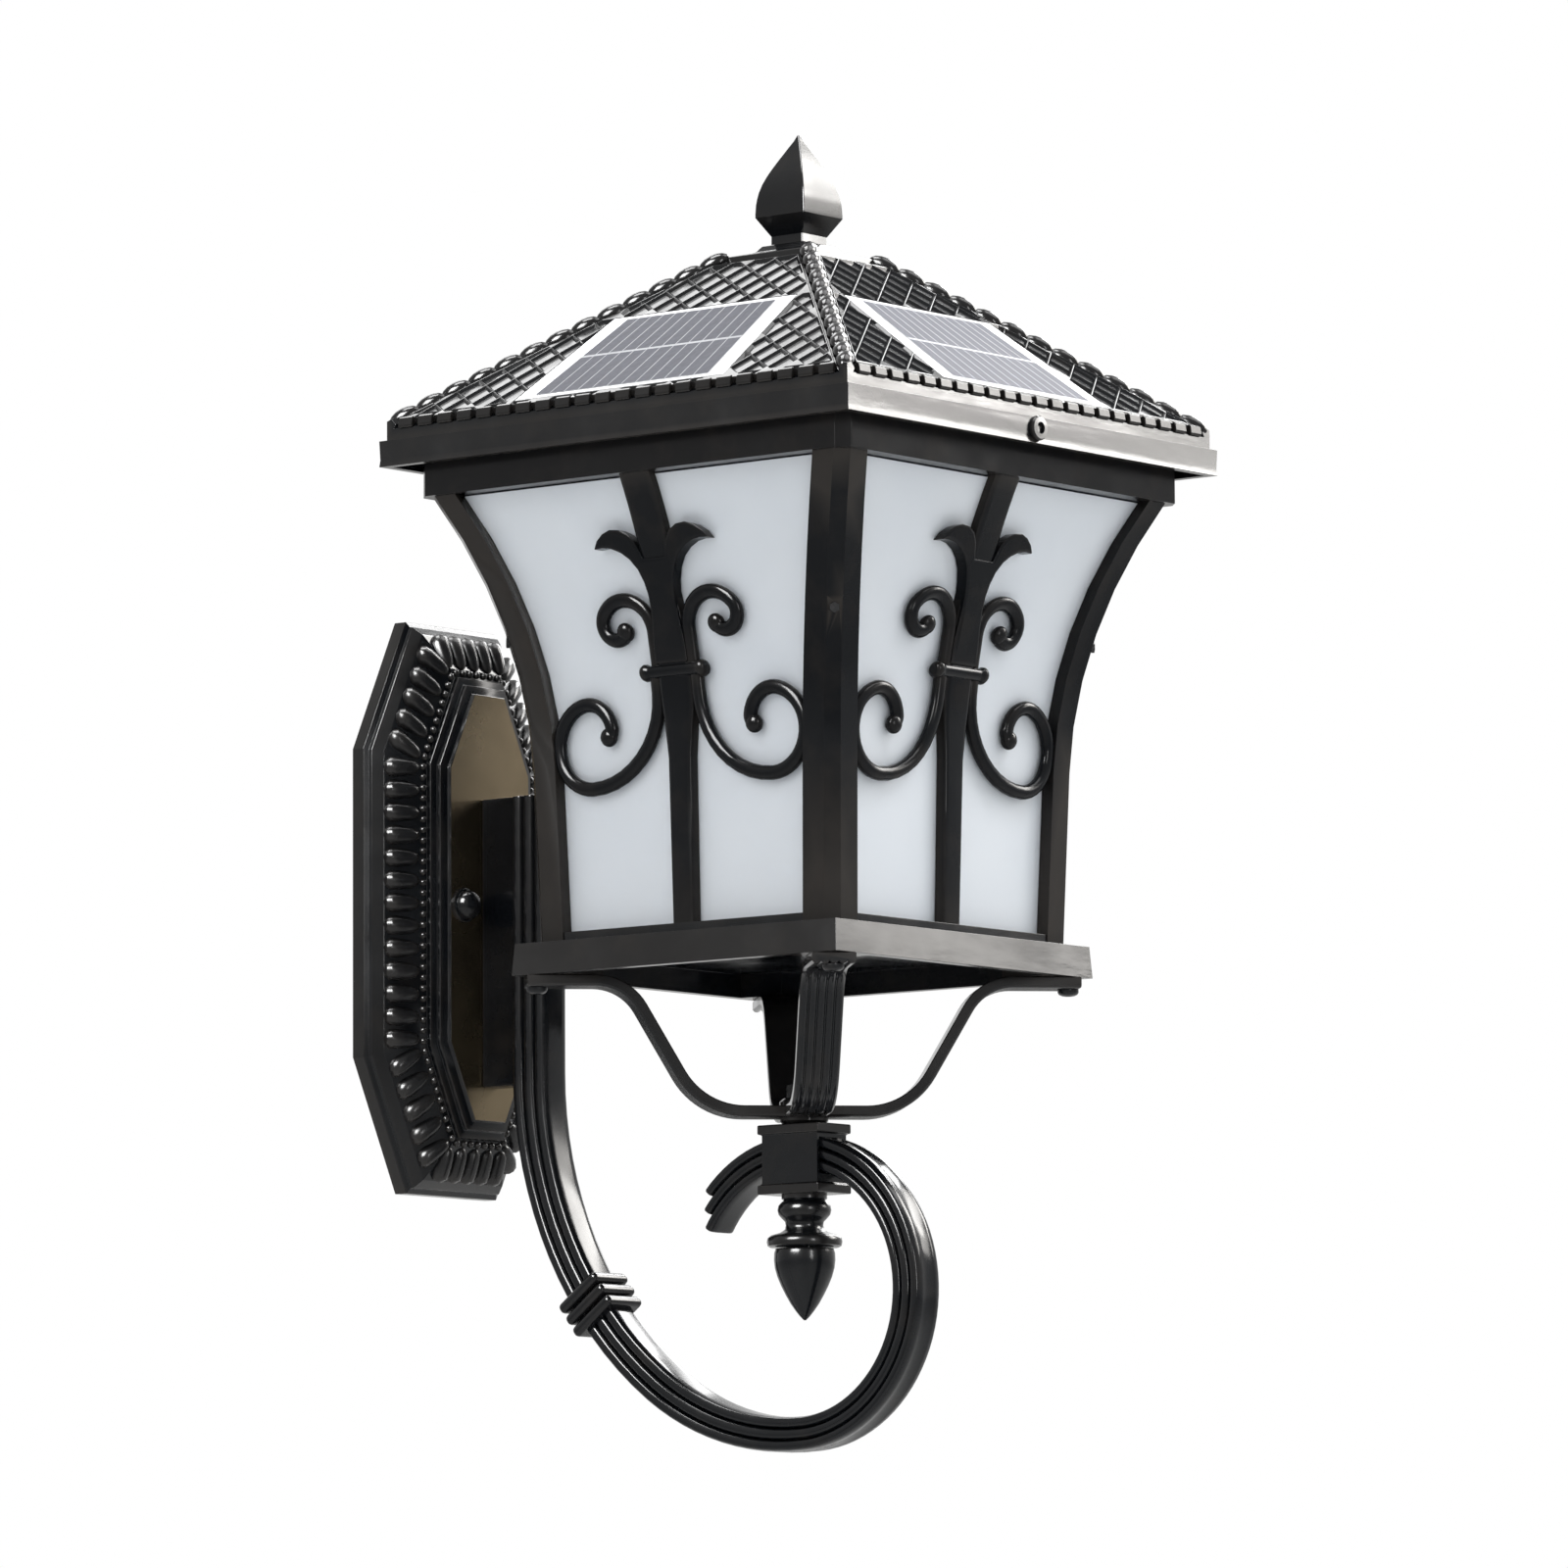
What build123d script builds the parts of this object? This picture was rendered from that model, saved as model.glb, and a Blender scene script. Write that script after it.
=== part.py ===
from build123d import *
import os
from math import asin, atan2, ceil, cos, degrees, floor, hypot, pi, radians, sin, sqrt

# Solar wall lantern. Sizes are in millimetres. The origin is the centre of the wall plate,
# on the wall: +X is right as seen from the front, +Z is up, and the lantern hangs out towards -Y.

# General arrangement
projection = 176.0        # wall to lantern axis
eaves_z = 152.0           # lower edge of the roof's fascia
tray_top_z = -23.5        # floor of the lantern body
rail_z = 141.0            # underside of the top rail
fit = 0.3                 # gap left at a seat between two pieces
hole_gap = 0.15           # radial gap of a screw in its hole
small_sides = 6           # sides of a screw, stud or small boss
turned_sides = 16         # sides of a larger turned piece

# Wall plate: a hollow octagonal casting
plate_width = 100.0
plate_height = 216.0
plate_side = 116.0        # straight length of each upright side
plate_end = 52.0          # straight length at the top and bottom
plate_wall = 3.5
rim_depth = 5.5
bevel_width = 5.0
bevel_rise = 5.8
band_width = 12.5         # the gadrooned band
band_rise = 6.6
bead_width = 3.0
bead_rise = 1.8
step_width = 3.0
step_rise = 2.2
panel_step = 4.0
panel_rise = 3.1
gadroon_pitch = 8.6
gadroon_width = 7.2
gadroon_height = 2.4

# Wall strap, its studs and the cap nuts
strap_length = 84.0
strap_height = 22.0
strap_thick = 2.5
wall_hole_r = 2.5
wall_hole_spacing = 66.0
stud_r = 2.5
stud_spacing = 32.0
stud_back_gap = 0.4
nut_flange_r = 6.5
nut_flange_h = 2.0
nut_dome_r = 5.6

# Scroll arm: a reeded bar of three tangent arcs with a curl at its foot
arm_half_width = 7.0
arm_reed = 1.0            # depth of the grooves between the reeds
arm_reed_share = 0.25     # half width of a reed, as a share of the bar's half depth
shank_half = 8.2          # half depth of the bar at the plate
sweep_half = 7.2          # half depth where the long sweep begins
curl_half = 6.2           # half depth round the curl
curl_z = -151.0           # height of the curl's centre, which lies on the lantern axis
curl_radius = 51.5
sweep_radius = 107.0
shank_radius = 147.0
curl_join = -93.5         # angle of the curl's start, from +Y towards +Z
sweep_join = -54.2        # angle where the shank meets the sweep
tail_angles = (31.0, 37.0, 43.0)   # ends of the inner, middle and outer reeds
arm_step = 13.0           # degrees in one flat of the bar
shank_top_z = 41.0
web_bottom_z = -68.0
web_half_width = 5.0
arm_bolt_r = 2.5
arm_bolt_head_r = 4.5
arm_bolt_head_h = 4.0
arm_bolt_depth = 14.0     # thread length in the arm
arm_bolt_z = (22.0, -45.0)

# Ringed collar on the arm
collar_angle = -37.0      # place on the shank's arc
collar_rings = 3
collar_ring_width = 4.4
collar_ring_pitch = 5.6
collar_proud = 3.0
collar_sleeve = 1.2
collar_round = 1.3

# Block that the curl passes through, with the drop finial and the rod below the legs
block_width = 17.5
block_depth = 26.0
block_height = 25.5
block_over = 3.8          # block's top above the bar
block_lip = 1.2
block_lip_h = 3.5
rod_r = 3.0
rod_in_finial = 15.0
drop_length = 46.0
drop_bead_r = 9.9
drop_waist_r = 6.7
drop_flange_r = 13.9
drop_bulb_r = 11.0
drop_tip_r = 0.5
drop_bulb_h = 23.0        # tip to the widest section
drop_neck_h = 3.5         # bulb to the flange
drop_flange_h = 6.0
drop_flange_edge = 2.6    # rounding of the flange's rim
drop_shoulder = 0.5
drop_bead_h = 8.5
nut_across = 11.0
nut_height = 5.0
rod_above_nut = 3.0

# Four reeded legs from the block to the corners of the tray, one casting
leg_width = 16.0
leg_thick = 3.4
leg_reeds = 3
leg_reed_width = 3.6
leg_reed_height = 0.8
leg_screw_in = 5.7        # leg screws, in from the tray's edges
leg_end = 4.0             # end of a leg beyond its screw
leg_flat = 21.0           # screw to the top bend
leg_top_bend = 20.0
leg_foot_bend = 27.0
leg_slope = 60.0
leg_flats = 3             # flats in each bend
hub_r = 9.0
hub_neck = 3.2            # neck between the block and the legs' feet
hub_top = 3.0             # boss above the feet

# Tray
tray_ledge = 5.0          # tray beyond the posts' feet
tray_flare = 0.8
tray_height = 11.7
tray_floor = 3.0
tray_skirt = 3.5
tray_pad = 23.0           # solid corner pads that take the screws
sill_height = 3.5         # upstand below the panes

# Lantern body: square in plan, with straight sides that flare out towards the top
foot_half = 70.0
waist_half = 72.0
waist_z = 40.0
flare_radius = 240.0
flare_flats = 6           # flats in the flare
post_width = 14.0
post_thick = 5.0
post_chamfer = 4.3
post_boss = 11.0          # depth of the screw bosses inside each post
post_boss_h = 12.0
boss_lean = 1.5           # set-in of the upper screw in the leaning boss
pane_thick = 2.5
pane_lap = 2.5            # cover of the pane's edge behind the post
clip_z = 87.5
clip_height = 10.0
clip_thick = 1.0
clip_reach = 20.0
rail_overhang = 2.65      # rail beyond the posts' heads
rail_width = 14.5
rail_height = 19.0

# Scroll grille on each side
grille_front = 0.5        # set back from the posts' faces
bar_width = 5.4
mullion_top_half = 7.0
mullion_neck_half = 5.7
mullion_foot_half = 4.9
leaf_z = 119.0            # where the leaves leave the mullion
leaf_reach = 24.5
leaf_height = 15.0
neck_z = 105.0
band_half = 14.3
band_z = 68.8
band_height = 5.0
lower_scroll_x = 42.0     # centre of the first bend of the lower scroll
lower_scroll_z = 64.0
lower_scroll_radii = (35.3, 18.2, 13.6, 6.0)
lower_bud_r = 3.6
upper_scroll_x = 20.5
upper_scroll_z = 85.8
upper_scroll_radii = (15.0, 8.5, 5.6)
upper_bud_r = 3.4
arc_step = 30.0           # degrees in one flat of a scroll

# Roof: fascia, rim and a four-sided slope, cast in one
roof_gap = 6.0            # between the top rail and the fascia
fascia_height = 9.6
rim_step = 2.0
rim_height = 4.4
cap_half = 19.0
slope_height = 63.5
roof_wall = 3.0
fascia_wall = 3.5
hip_r = 3.0
ceiling_screw_in = 6.0    # ceiling screws, in from the rail's inner face
ceiling_boss_r = 4.5

# Lattices and solar panels on the slopes
lattice_thick = 2.5
lattice_margin = 5.0      # clear of the hips
lattice_foot = 2.0
cell_width = 17.5
cell_height = 15.0
cell_rib = 2.6
panel_side_gap = 4.25     # lattice edge to the panel's upper corners
panel_flare = 6.0         # lower corners beyond the upper ones
panel_foot = 5.2          # up the slope from the rim
panel_length = 61.5
panel_thick = 2.8
panel_gap = 0.4

# Cap and finial
cap_base_half = 20.5
cap_base_h = 1.8
cap_neck_half = 9.8
cap_shoulder = 2.0
cap_height = 6.5
finial_neck_half = 7.4
finial_neck_h = 3.5
finial_bulb_half = 11.6
finial_bulb_h = 10.5      # neck's foot to the widest section
finial_height = 41.8
finial_tip_half = 0.4
finial_bolt_r = 2.5
finial_bolt_head_r = 4.5
finial_bolt_head_h = 4.0
finial_bolt_up = 14.0     # thread length in the finial

# Fasteners
screw_r = 1.5
screw_head_r = 2.8
screw_head_h = 2.2
foot_screw_thread = 9.0
leg_screw_r = 2.0
leg_screw_head_r = 3.9
leg_screw_head_h = 2.4
leg_screw_thread = 8.0
roof_screw_r = 2.0
roof_screw_head_r = 4.0
roof_screw_head_h = 2.6
roof_screw_z = 5.5        # above the fascia's lower edge
post_screw_head_r = 2.0
post_screw_head_h = 1.2
screw_tip_gap = 1.0       # screw tip short of the face behind

# Ceiling plate and the works above and below it
ceiling_thick = 2.0
ceiling_edge_gap = 1.0
cell_r = 9.2              # rechargeable cells
cell_length = 65.0
cell_pitch = 20.0
holder_wall = 1.6
holder_floor = 2.0
holder_height = 12.0
holder_y = 28.0
board_width = 60.0
board_depth = 36.0
board_thick = 1.6
board_y = -28.0
standoff_r = 2.5
standoff_h = 5.0
standoff_inset = 4.0
chip_size = 14.0
chip_h = 3.0
chip_x = -8.0
can_width = 10.0
can_depth = 16.0
can_h = 6.0
can_x = 14.0
led_board_r = 30.0
led_count = 8
led_ring_r = 20.0
led_size = 3.5
led_h = 1.2
diffuser_r = 34.0
diffuser_h = 11.0
diffuser_wall = 1.6

# Push switch through the ceiling plate
switch_x = 58.0
switch_size = 15.0
switch_height = 11.0
switch_neck_r = 5.8
switch_neck_drop = 6.0
switch_nut_r = 8.5
switch_nut_h = 3.0
button_r = 3.9
button_out = 4.0
button_flange_r = 5.2
button_flange_h = 1.5
button_travel = 2.0
button_gap = 0.25


# Helpers
def polar(centre, radius, angle):
    """Point at a radius and an angle in degrees from a centre."""
    return (
        centre[0] + radius * cos(radians(angle)),
        centre[1] + radius * sin(radians(angle)),
    )


def square_box(half, z_low, z_high):
    """Upright block of a square section about the lantern axis."""
    return Pos(0, 0, (z_low + z_high) / 2) * Box(2 * half, 2 * half, z_high - z_low)


def stacked(rings):
    """Solid through polygons of as many corners each, from one end to the other."""
    faces = [Face(Wire.make_polygon(rings[0])), Face(Wire.make_polygon(rings[-1]))]
    for ring, following in zip(rings, rings[1:]):
        for k in range(len(ring)):
            corners = [ring[k - 1], ring[k], following[k], following[k - 1]]
            faces.append(Face(Wire.make_polygon(corners)))
    return Solid(Shell(faces))


def stepped_square(levels):
    """Solid of square sections, given as (half width, height) from the bottom up."""
    rings = []
    for half, z in levels:
        rings.append([(half, half, z), (-half, half, z), (-half, -half, z), (half, -half, z)])
    return stacked(rings)


def turned(levels, sides):
    """Turned piece about Z, given as (radius, height) from the bottom up."""
    rings = []
    for radius, z in levels:
        spokes = [polar((0, 0), radius, 360 * k / sides) for k in range(sides)]
        rings.append([(x, y, z) for x, y in spokes])
    return stacked(rings)


def rod(radius, z_low, z_high, sides=small_sides):
    """Round bar along Z."""
    return extrude(Plane.XY.offset(z_low) * RegularPolygon(radius, sides), amount=z_high - z_low)


def screw(radius, length, head_r, head_h):
    """Pan-headed screw along +Z, with its seat at the origin."""
    return rod(radius, 0, length) + rod(head_r, -head_h, 0)


def four_round(piece):
    """Four copies about the lantern axis."""
    return [Rot(0, 0, 90 * k) * piece for k in range(4)]


def group(pieces):
    """Several separate solids in one node."""
    return Compound([solid for piece in pieces for solid in piece.solids()])


def out(piece):
    """From the lantern axis to the lantern's place in front of the wall."""
    return Pos(0, -projection, 0) * piece


sides = {"front": 0, "right": 90, "rear": 180, "left": 270}
nodes = {}

# Wall plate
bevel_depth = rim_depth + bevel_rise
band_inset = bevel_width + band_width
band_depth = bevel_depth + band_rise
bead_inset = band_inset + bead_width
bead_depth = band_depth + bead_rise
step_inset = bead_inset + step_width
step_depth = bead_depth + step_rise
panel_inset = step_inset + panel_step
panel_depth = step_depth + panel_rise


def octagon(inset):
    """Corners of the plate's outline, moved in by inset on all eight sides."""
    half_w = plate_width / 2
    half_h = plate_height / 2
    run = half_w - plate_end / 2
    rise = half_h - plate_side / 2
    reach = rise * half_w + run * plate_side / 2 - inset * hypot(run, rise)
    x = half_w - inset
    z = half_h - inset
    z_side = (reach - rise * x) / run
    x_end = (reach - run * z) / rise
    upper = [(x, z_side), (x_end, z), (-x_end, z), (-x, z_side)]
    return upper + [(px, -pz) for px, pz in reversed(upper)]


def gadroons():
    """Lobes across the sloping band, spaced along each of its eight sides."""
    lobes = []
    outline = octagon(band_inset)
    crown = gadroon_width / 4
    section = [
        (-gadroon_width / 2, 0),
        (-crown, gadroon_height),
        (crown, gadroon_height),
        (gadroon_width / 2, 0),
    ]
    slope = hypot(band_width, band_rise)
    for (x0, z0), (x1, z1) in zip(outline, outline[1:] + outline[:1]):
        side = hypot(x1 - x0, z1 - z0)
        along = Vector((x1 - x0) / side, 0, (z1 - z0) / side)
        outward = Vector(along.Z, 0, -along.X)
        if outward.X * (x0 + x1) + outward.Z * (z0 + z1) < 0:
            outward = outward * -1
        down = (outward * band_width + Vector(0, band_rise, 0)) * (1 / slope)
        count = floor(side / gadroon_pitch)
        for k in range(count):
            at = (k + 0.5) * side / count
            foot = Vector(x0, -band_depth, z0) + along * at
            plane = Plane(foot, x_dir=along, z_dir=down)
            lift = plane.y_dir.dot(Vector(0, -1, 0))
            lobe = [(px, py if lift > 0 else -py) for px, py in section]
            lobes.append(extrude(plane * make_face(Polyline(lobe, close=True)), amount=slope))
    return lobes


plate_levels = [
    (0, 0),
    (0, rim_depth),
    (bevel_width, bevel_depth),
    (band_inset, band_depth),
    (bead_inset, bead_depth),
    (step_inset, step_depth),
    (panel_inset, panel_depth),
]
hollow_levels = [
    (plate_wall, 0),
    (plate_wall, rim_depth - plate_wall / 2),
    (panel_inset + plate_wall / 2, panel_depth - plate_wall),
]


def octagon_stack(levels):
    """Solid of octagonal sections, given as (inset, depth) from the wall outwards."""
    return stacked([[(x, -depth, z) for x, z in octagon(inset)] for inset, depth in levels])


plate = octagon_stack(plate_levels)
plate = plate + gadroons()
plate = plate - octagon_stack(hollow_levels)


def along_wall(radius, x, z, y_from, y_to):
    """Round bar square to the wall, between two distances from it."""
    return Pos(x, 0, z) * Rot(90, 0, 0) * rod(radius, y_from, y_to)


stud_x = (-stud_spacing / 2, stud_spacing / 2)
for x in stud_x:
    plate = plate - along_wall(stud_r + hole_gap, x, 0, 0, panel_depth + 1)
for z in arm_bolt_z:
    plate = plate - along_wall(arm_bolt_r + hole_gap, 0, z, 0, panel_depth + 1)
nodes["wall_plate"] = plate

# Wall strap with two wall holes and two studs that carry the plate
strap = Pos(0, -strap_thick / 2, 0) * Box(strap_length, strap_thick, strap_height)
for x in (-wall_hole_spacing / 2, wall_hole_spacing / 2):
    strap = strap - Pos(x, -strap_thick / 2, 0) * Rot(90, 0, 0) * Cylinder(
        wall_hole_r, 2 * strap_thick
    )
for x in stud_x:
    strap = strap - along_wall(stud_r + hole_gap, x, 0, -1, strap_thick + 1)
nodes["wall_strap"] = strap
stud_end = panel_depth + nut_flange_h + nut_dome_r / 2
nodes["strap_studs"] = group([along_wall(stud_r, x, 0, stud_back_gap, stud_end) for x in stud_x])


def cap_nut(x):
    """Domed nut on the face of the plate."""
    base = panel_depth + nut_flange_h
    levels = [(nut_flange_r, panel_depth), (nut_flange_r, base)]
    levels = levels + [polar((0, base), nut_dome_r, angle) for angle in (0, 30, 55, 80)]
    nut = Pos(x, 0, 0) * Rot(90, 0, 0) * turned(levels, turned_sides)
    return nut - along_wall(stud_r + hole_gap, x, 0, panel_depth - 1, stud_end + fit)


nodes["cap_nuts"] = group([cap_nut(x) for x in stud_x])

# Scroll arm
curl_centre = (-projection, curl_z)
sweep_centre = polar(curl_centre, curl_radius - sweep_radius, curl_join)
shank_centre = polar(sweep_centre, sweep_radius - shank_radius, sweep_join)
shank_y = shank_centre[0] + shank_radius


def sweep_points(centre, radius, half, angles, share):
    """Points along an arc of the bar, whose half depth goes from half[0] to half[1]."""
    turn = angles[0] - angles[1]
    steps = [k * arm_step for k in range(ceil(turn / arm_step))] + [turn]
    points = []
    for step in steps:
        depth = half[0] + (half[1] - half[0]) * step / turn
        points.append(polar(centre, radius + share * depth, angles[0] - step))
    return points


def arm_edge(share, tail):
    """Line of the bar at a share of its half depth: -1 is its inner edge and 1 its outer edge."""
    top = (shank_y + share * shank_half, shank_top_z)
    shank = sweep_points(
        shank_centre, shank_radius, (shank_half, sweep_half), (0, sweep_join), share
    )
    sweep = sweep_points(
        sweep_centre, sweep_radius, (sweep_half, curl_half), (sweep_join, curl_join), share
    )
    curl = sweep_points(
        curl_centre, curl_radius, (curl_half, curl_half), (curl_join, tail - 360), share
    )
    return [top] + shank + sweep[1:] + curl[1:]


def arm_bar(low, high, tail, half_width):
    """Length of the bar between two shares of its half depth."""
    outline = arm_edge(low, tail) + list(reversed(arm_edge(high, tail)))
    face = make_face(Polyline(outline, close=True))
    return extrude(Plane.YZ * face, amount=half_width, both=True)


reed_gap = 2 / 3
thirds = (-1, -1 / 3, 1 / 3, 1)
arm = Part()
for k in range(3):
    core = arm_bar(thirds[k], thirds[k + 1], tail_angles[k], arm_half_width - arm_reed)
    middle = (k - 1) * reed_gap
    reed = arm_bar(
        middle - arm_reed_share, middle + arm_reed_share, tail_angles[k], arm_half_width
    )
    arm = arm + core + reed
web_depth = -shank_y - shank_half - panel_depth
web_height = shank_top_z - web_bottom_z
web_middle = (shank_top_z + web_bottom_z) / 2
web_face = Plane.YZ * Pos(-panel_depth - (web_depth + shank_half) / 2, web_middle) * Rectangle(
    web_depth + shank_half, web_height
)
arm = arm + extrude(web_face, amount=web_half_width, both=True)
rod_hole_r = rod_r + hole_gap
curl_top_z = curl_z + curl_radius
arm_bore = Pos(0, -projection, 0) * rod(
    rod_hole_r, curl_top_z - 2 * curl_half, curl_top_z + 2 * curl_half
)
arm = arm - arm_bore
for z in arm_bolt_z:
    bolt_end = panel_depth + arm_bolt_depth
    arm = arm - along_wall(arm_bolt_r + hole_gap, 0, z, panel_depth - 1, bolt_end + fit)
nodes["arm"] = arm


def arm_bolt(z):
    """Bolt from inside the plate into the web of the arm."""
    seat = panel_depth - plate_wall
    shank = along_wall(arm_bolt_r, 0, z, seat, panel_depth + arm_bolt_depth)
    return shank + along_wall(arm_bolt_head_r, 0, z, seat - arm_bolt_head_h, seat)


nodes["arm_bolts"] = group([arm_bolt(z) for z in arm_bolt_z])

# Ringed collar round the arm
collar_y, collar_z = polar(shank_centre, shank_radius, collar_angle)
collar_place = Pos(0, collar_y, collar_z) * Rot(collar_angle, 0, 0)
collar_half = (shank_half + sweep_half) / 2 + collar_proud
collar_length = (collar_rings - 1) * collar_ring_pitch + collar_ring_width
sleeve_half = collar_half - collar_proud + collar_sleeve
collar = Box(2 * (arm_half_width + collar_sleeve), 2 * sleeve_half, collar_length)
for k in range(collar_rings):
    ring = Box(2 * (arm_half_width + collar_proud), 2 * collar_half, collar_ring_width)
    ring = chamfer(ring.edges().filter_by(Axis.X) + ring.edges().filter_by(Axis.Y), collar_round)
    collar = collar + Pos(0, 0, (k - (collar_rings - 1) / 2) * collar_ring_pitch) * ring
bar_space = arm_bar(-1, 1, tail_angles[0], arm_half_width)
nodes["arm_collar"] = collar_place * collar - bar_space

# Block on the curl
block_top_z = curl_top_z + curl_half + block_over
block_bottom_z = block_top_z - block_height
block = Pos(0, 0, block_top_z - block_height / 2) * Box(block_width, block_depth, block_height)
for z in (block_top_z - block_lip_h / 2, block_bottom_z + block_lip_h / 2):
    block = block + Pos(0, 0, z) * Box(
        block_width + 2 * block_lip, block_depth + 2 * block_lip, block_lip_h
    )
block = block - rod(rod_hole_r, block_bottom_z - 1, block_top_z + 1)
nodes["arm_block"] = out(block) - bar_space

# Drop finial, turned, on the lower end of the rod
drop_tip_z = block_bottom_z - drop_length


def drop_levels():
    """Radius and height: pointed bulb, flange, waist and bead, from the tip up to the block."""
    belly = drop_tip_z + drop_bulb_h
    levels = [(drop_tip_r, drop_tip_z)]
    for share, radius in ((0.18, 0.34), (0.40, 0.64), (0.65, 0.86), (0.85, 0.97)):
        levels.append((drop_bulb_r * radius, drop_tip_z + drop_bulb_h * share))
    levels.append((drop_bulb_r, belly))
    levels.append((drop_bulb_r - drop_shoulder, belly + drop_neck_h))
    flange = belly + drop_neck_h + drop_flange_h / 2
    for height, inset in ((-0.5, drop_flange_edge), (-0.2, 0), (0.2, 0), (0.5, drop_flange_edge)):
        levels.append((drop_flange_r - inset, flange + height * drop_flange_h))
    bead = block_bottom_z - drop_bead_h / 2
    levels.append((drop_waist_r, bead - drop_bead_h / 2))
    for height, radius in ((-0.3, 0.75), (0, 1), (0.3, 0.75)):
        swell = drop_waist_r + (drop_bead_r - drop_waist_r) * radius
        levels.append((swell, bead + height * drop_bead_h))
    levels.append((drop_waist_r, block_bottom_z))
    return levels


drop = turned(drop_levels(), turned_sides)
rod_foot_z = block_bottom_z - rod_in_finial
drop = drop - rod(rod_hole_r, rod_foot_z - fit, block_bottom_z + 1)
nodes["drop_finial"] = out(drop)

# Legs: one casting with a hub on the rod
tray_half_top = foot_half + tray_ledge
tray_half_bottom = tray_half_top + tray_flare
leg_screw_at = sqrt(2) * (tray_half_top - leg_screw_in)
leg_end_r = leg_screw_at + leg_end
leg_bend_r = leg_screw_at - leg_flat
foot_z = block_top_z + hub_neck + leg_thick / 2
tray_bottom_z = tray_top_z - tray_height
leg_top_z = tray_bottom_z - leg_thick / 2
slope_sin = sin(radians(leg_slope))
slope_cos = cos(radians(leg_slope))
leg_drop = leg_top_z - foot_z
slope_length = (leg_drop - (leg_top_bend + leg_foot_bend) * (1 - slope_cos)) / slope_sin
top_centre = (leg_bend_r, leg_top_z - leg_top_bend)
foot_centre = (
    leg_bend_r - (leg_top_bend + leg_foot_bend) * slope_sin - slope_length * slope_cos,
    foot_z + leg_foot_bend,
)


def leg_line(offset):
    """Side line of the strap, offset upwards from its middle."""
    upper = leg_top_bend + offset
    lower = leg_foot_bend - offset
    turn = leg_slope / leg_flats
    bend = [polar(top_centre, upper, 90 + turn * k) for k in range(leg_flats + 1)]
    heel = [polar(foot_centre, lower, 270 + turn * k) for k in range(leg_flats + 1)]
    return [(leg_end_r, leg_top_z + offset)] + bend + heel[::-1] + [(0, foot_z + offset)]


def leg_strip(low, high, y, width):
    """Part of the strap between two offsets, across a width centred on y."""
    face = make_face(Polyline(leg_line(low) + leg_line(high)[::-1], close=True))
    return Pos(0, y, 0) * extrude(Plane.XZ * face, amount=width / 2, both=True)


leg = leg_strip(-leg_thick / 2, leg_thick / 2, 0, leg_width)
reed_pitch = leg_width / leg_reeds
for k in range(leg_reeds):
    y = (k - (leg_reeds - 1) / 2) * reed_pitch
    leg = leg + leg_strip(-leg_thick / 2 - leg_reed_height, -leg_thick / 2, y, leg_reed_width)
legs = rod(hub_r, block_top_z, foot_z + leg_thick / 2 + hub_top)
legs = legs + [Rot(0, 0, 45) * turned for turned in four_round(leg)]
hub_top_z = foot_z + leg_thick / 2 + hub_top
legs = legs - rod(rod_hole_r, block_top_z - 1, hub_top_z + 1)
legs = legs - square_box(hub_r * 4, block_top_z - 2 * leg_thick, block_top_z)
leg_screw_seat = leg_top_z - leg_thick / 2 - leg_reed_height
leg_screw_hole = Pos(leg_screw_at, 0, leg_screw_seat - 1) * rod(
    leg_screw_r + hole_gap, 0, leg_thick + leg_reed_height + 2
)
legs = legs - [Rot(0, 0, 45) * hole for hole in four_round(leg_screw_hole)]
nodes["leg_bracket"] = out(legs)

leg_screw_length = leg_thick + leg_reed_height + leg_screw_thread
leg_screw = Pos(leg_screw_at, 0, leg_screw_seat) * screw(
    leg_screw_r, leg_screw_length, leg_screw_head_r, leg_screw_head_h
)
nodes["leg_screws"] = group([out(Rot(0, 0, 45) * turned) for turned in four_round(leg_screw)])

rod_top_z = hub_top_z + nut_height + rod_above_nut
nodes["centre_rod"] = out(rod(rod_r, rod_foot_z, rod_top_z))
nut = Plane.XY.offset(hub_top_z) * RegularPolygon(nut_across / 2, 6, major_radius=False)
nodes["rod_nut"] = out(extrude(nut, amount=nut_height) - rod(rod_hole_r, hub_top_z - 1, rod_top_z))

# Side profile of the lantern body, from the tray to the top rail
lean = atan2(waist_half - foot_half, waist_z - tray_top_z)
flare_centre_x = waist_half + flare_radius * cos(lean)
flare_centre_z = waist_z - flare_radius * sin(lean)
flare_end = asin((rail_z - flare_centre_z) / flare_radius)


def half_at(z):
    """Half width of the body at a height."""
    if z <= waist_z:
        return foot_half + (waist_half - foot_half) * (z - tray_top_z) / (waist_z - tray_top_z)
    turn = asin((z - flare_centre_z) / flare_radius)
    return flare_centre_x - flare_radius * cos(turn)


post_head_half = half_at(rail_z)
rail_half = post_head_half + rail_overhang
fascia_half = rail_half + roof_gap + fascia_wall
rim_half = fascia_half - rim_step
ceiling_post = rail_half - rail_width - ceiling_screw_in
flare_turns = [lean + (flare_end - lean) * k / flare_flats for k in range(flare_flats + 1)]
side_levels = [tray_top_z] + [flare_centre_z + flare_radius * sin(turn) for turn in flare_turns]


def side_face(reach):
    """Outline in XZ whose half width is reach(half width of the body)."""
    right = [(reach(half_at(z)), z) for z in side_levels]
    left = [(-x, z) for x, z in reversed(right)]
    return make_face(Polyline(right + left, close=True))


def strip_x(inset):
    """All that lies between the two flared planes at +X and -X, set in by inset."""
    face = Plane.XZ * side_face(lambda half: half - inset)
    return extrude(face, amount=2 * rail_half, both=True)


def strip_y(inset):
    return Rot(0, 0, 90) * strip_x(inset)


def flared(inset):
    """The body's outer form, set in by inset on its four sides."""
    return strip_x(inset) & strip_y(inset)


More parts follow.
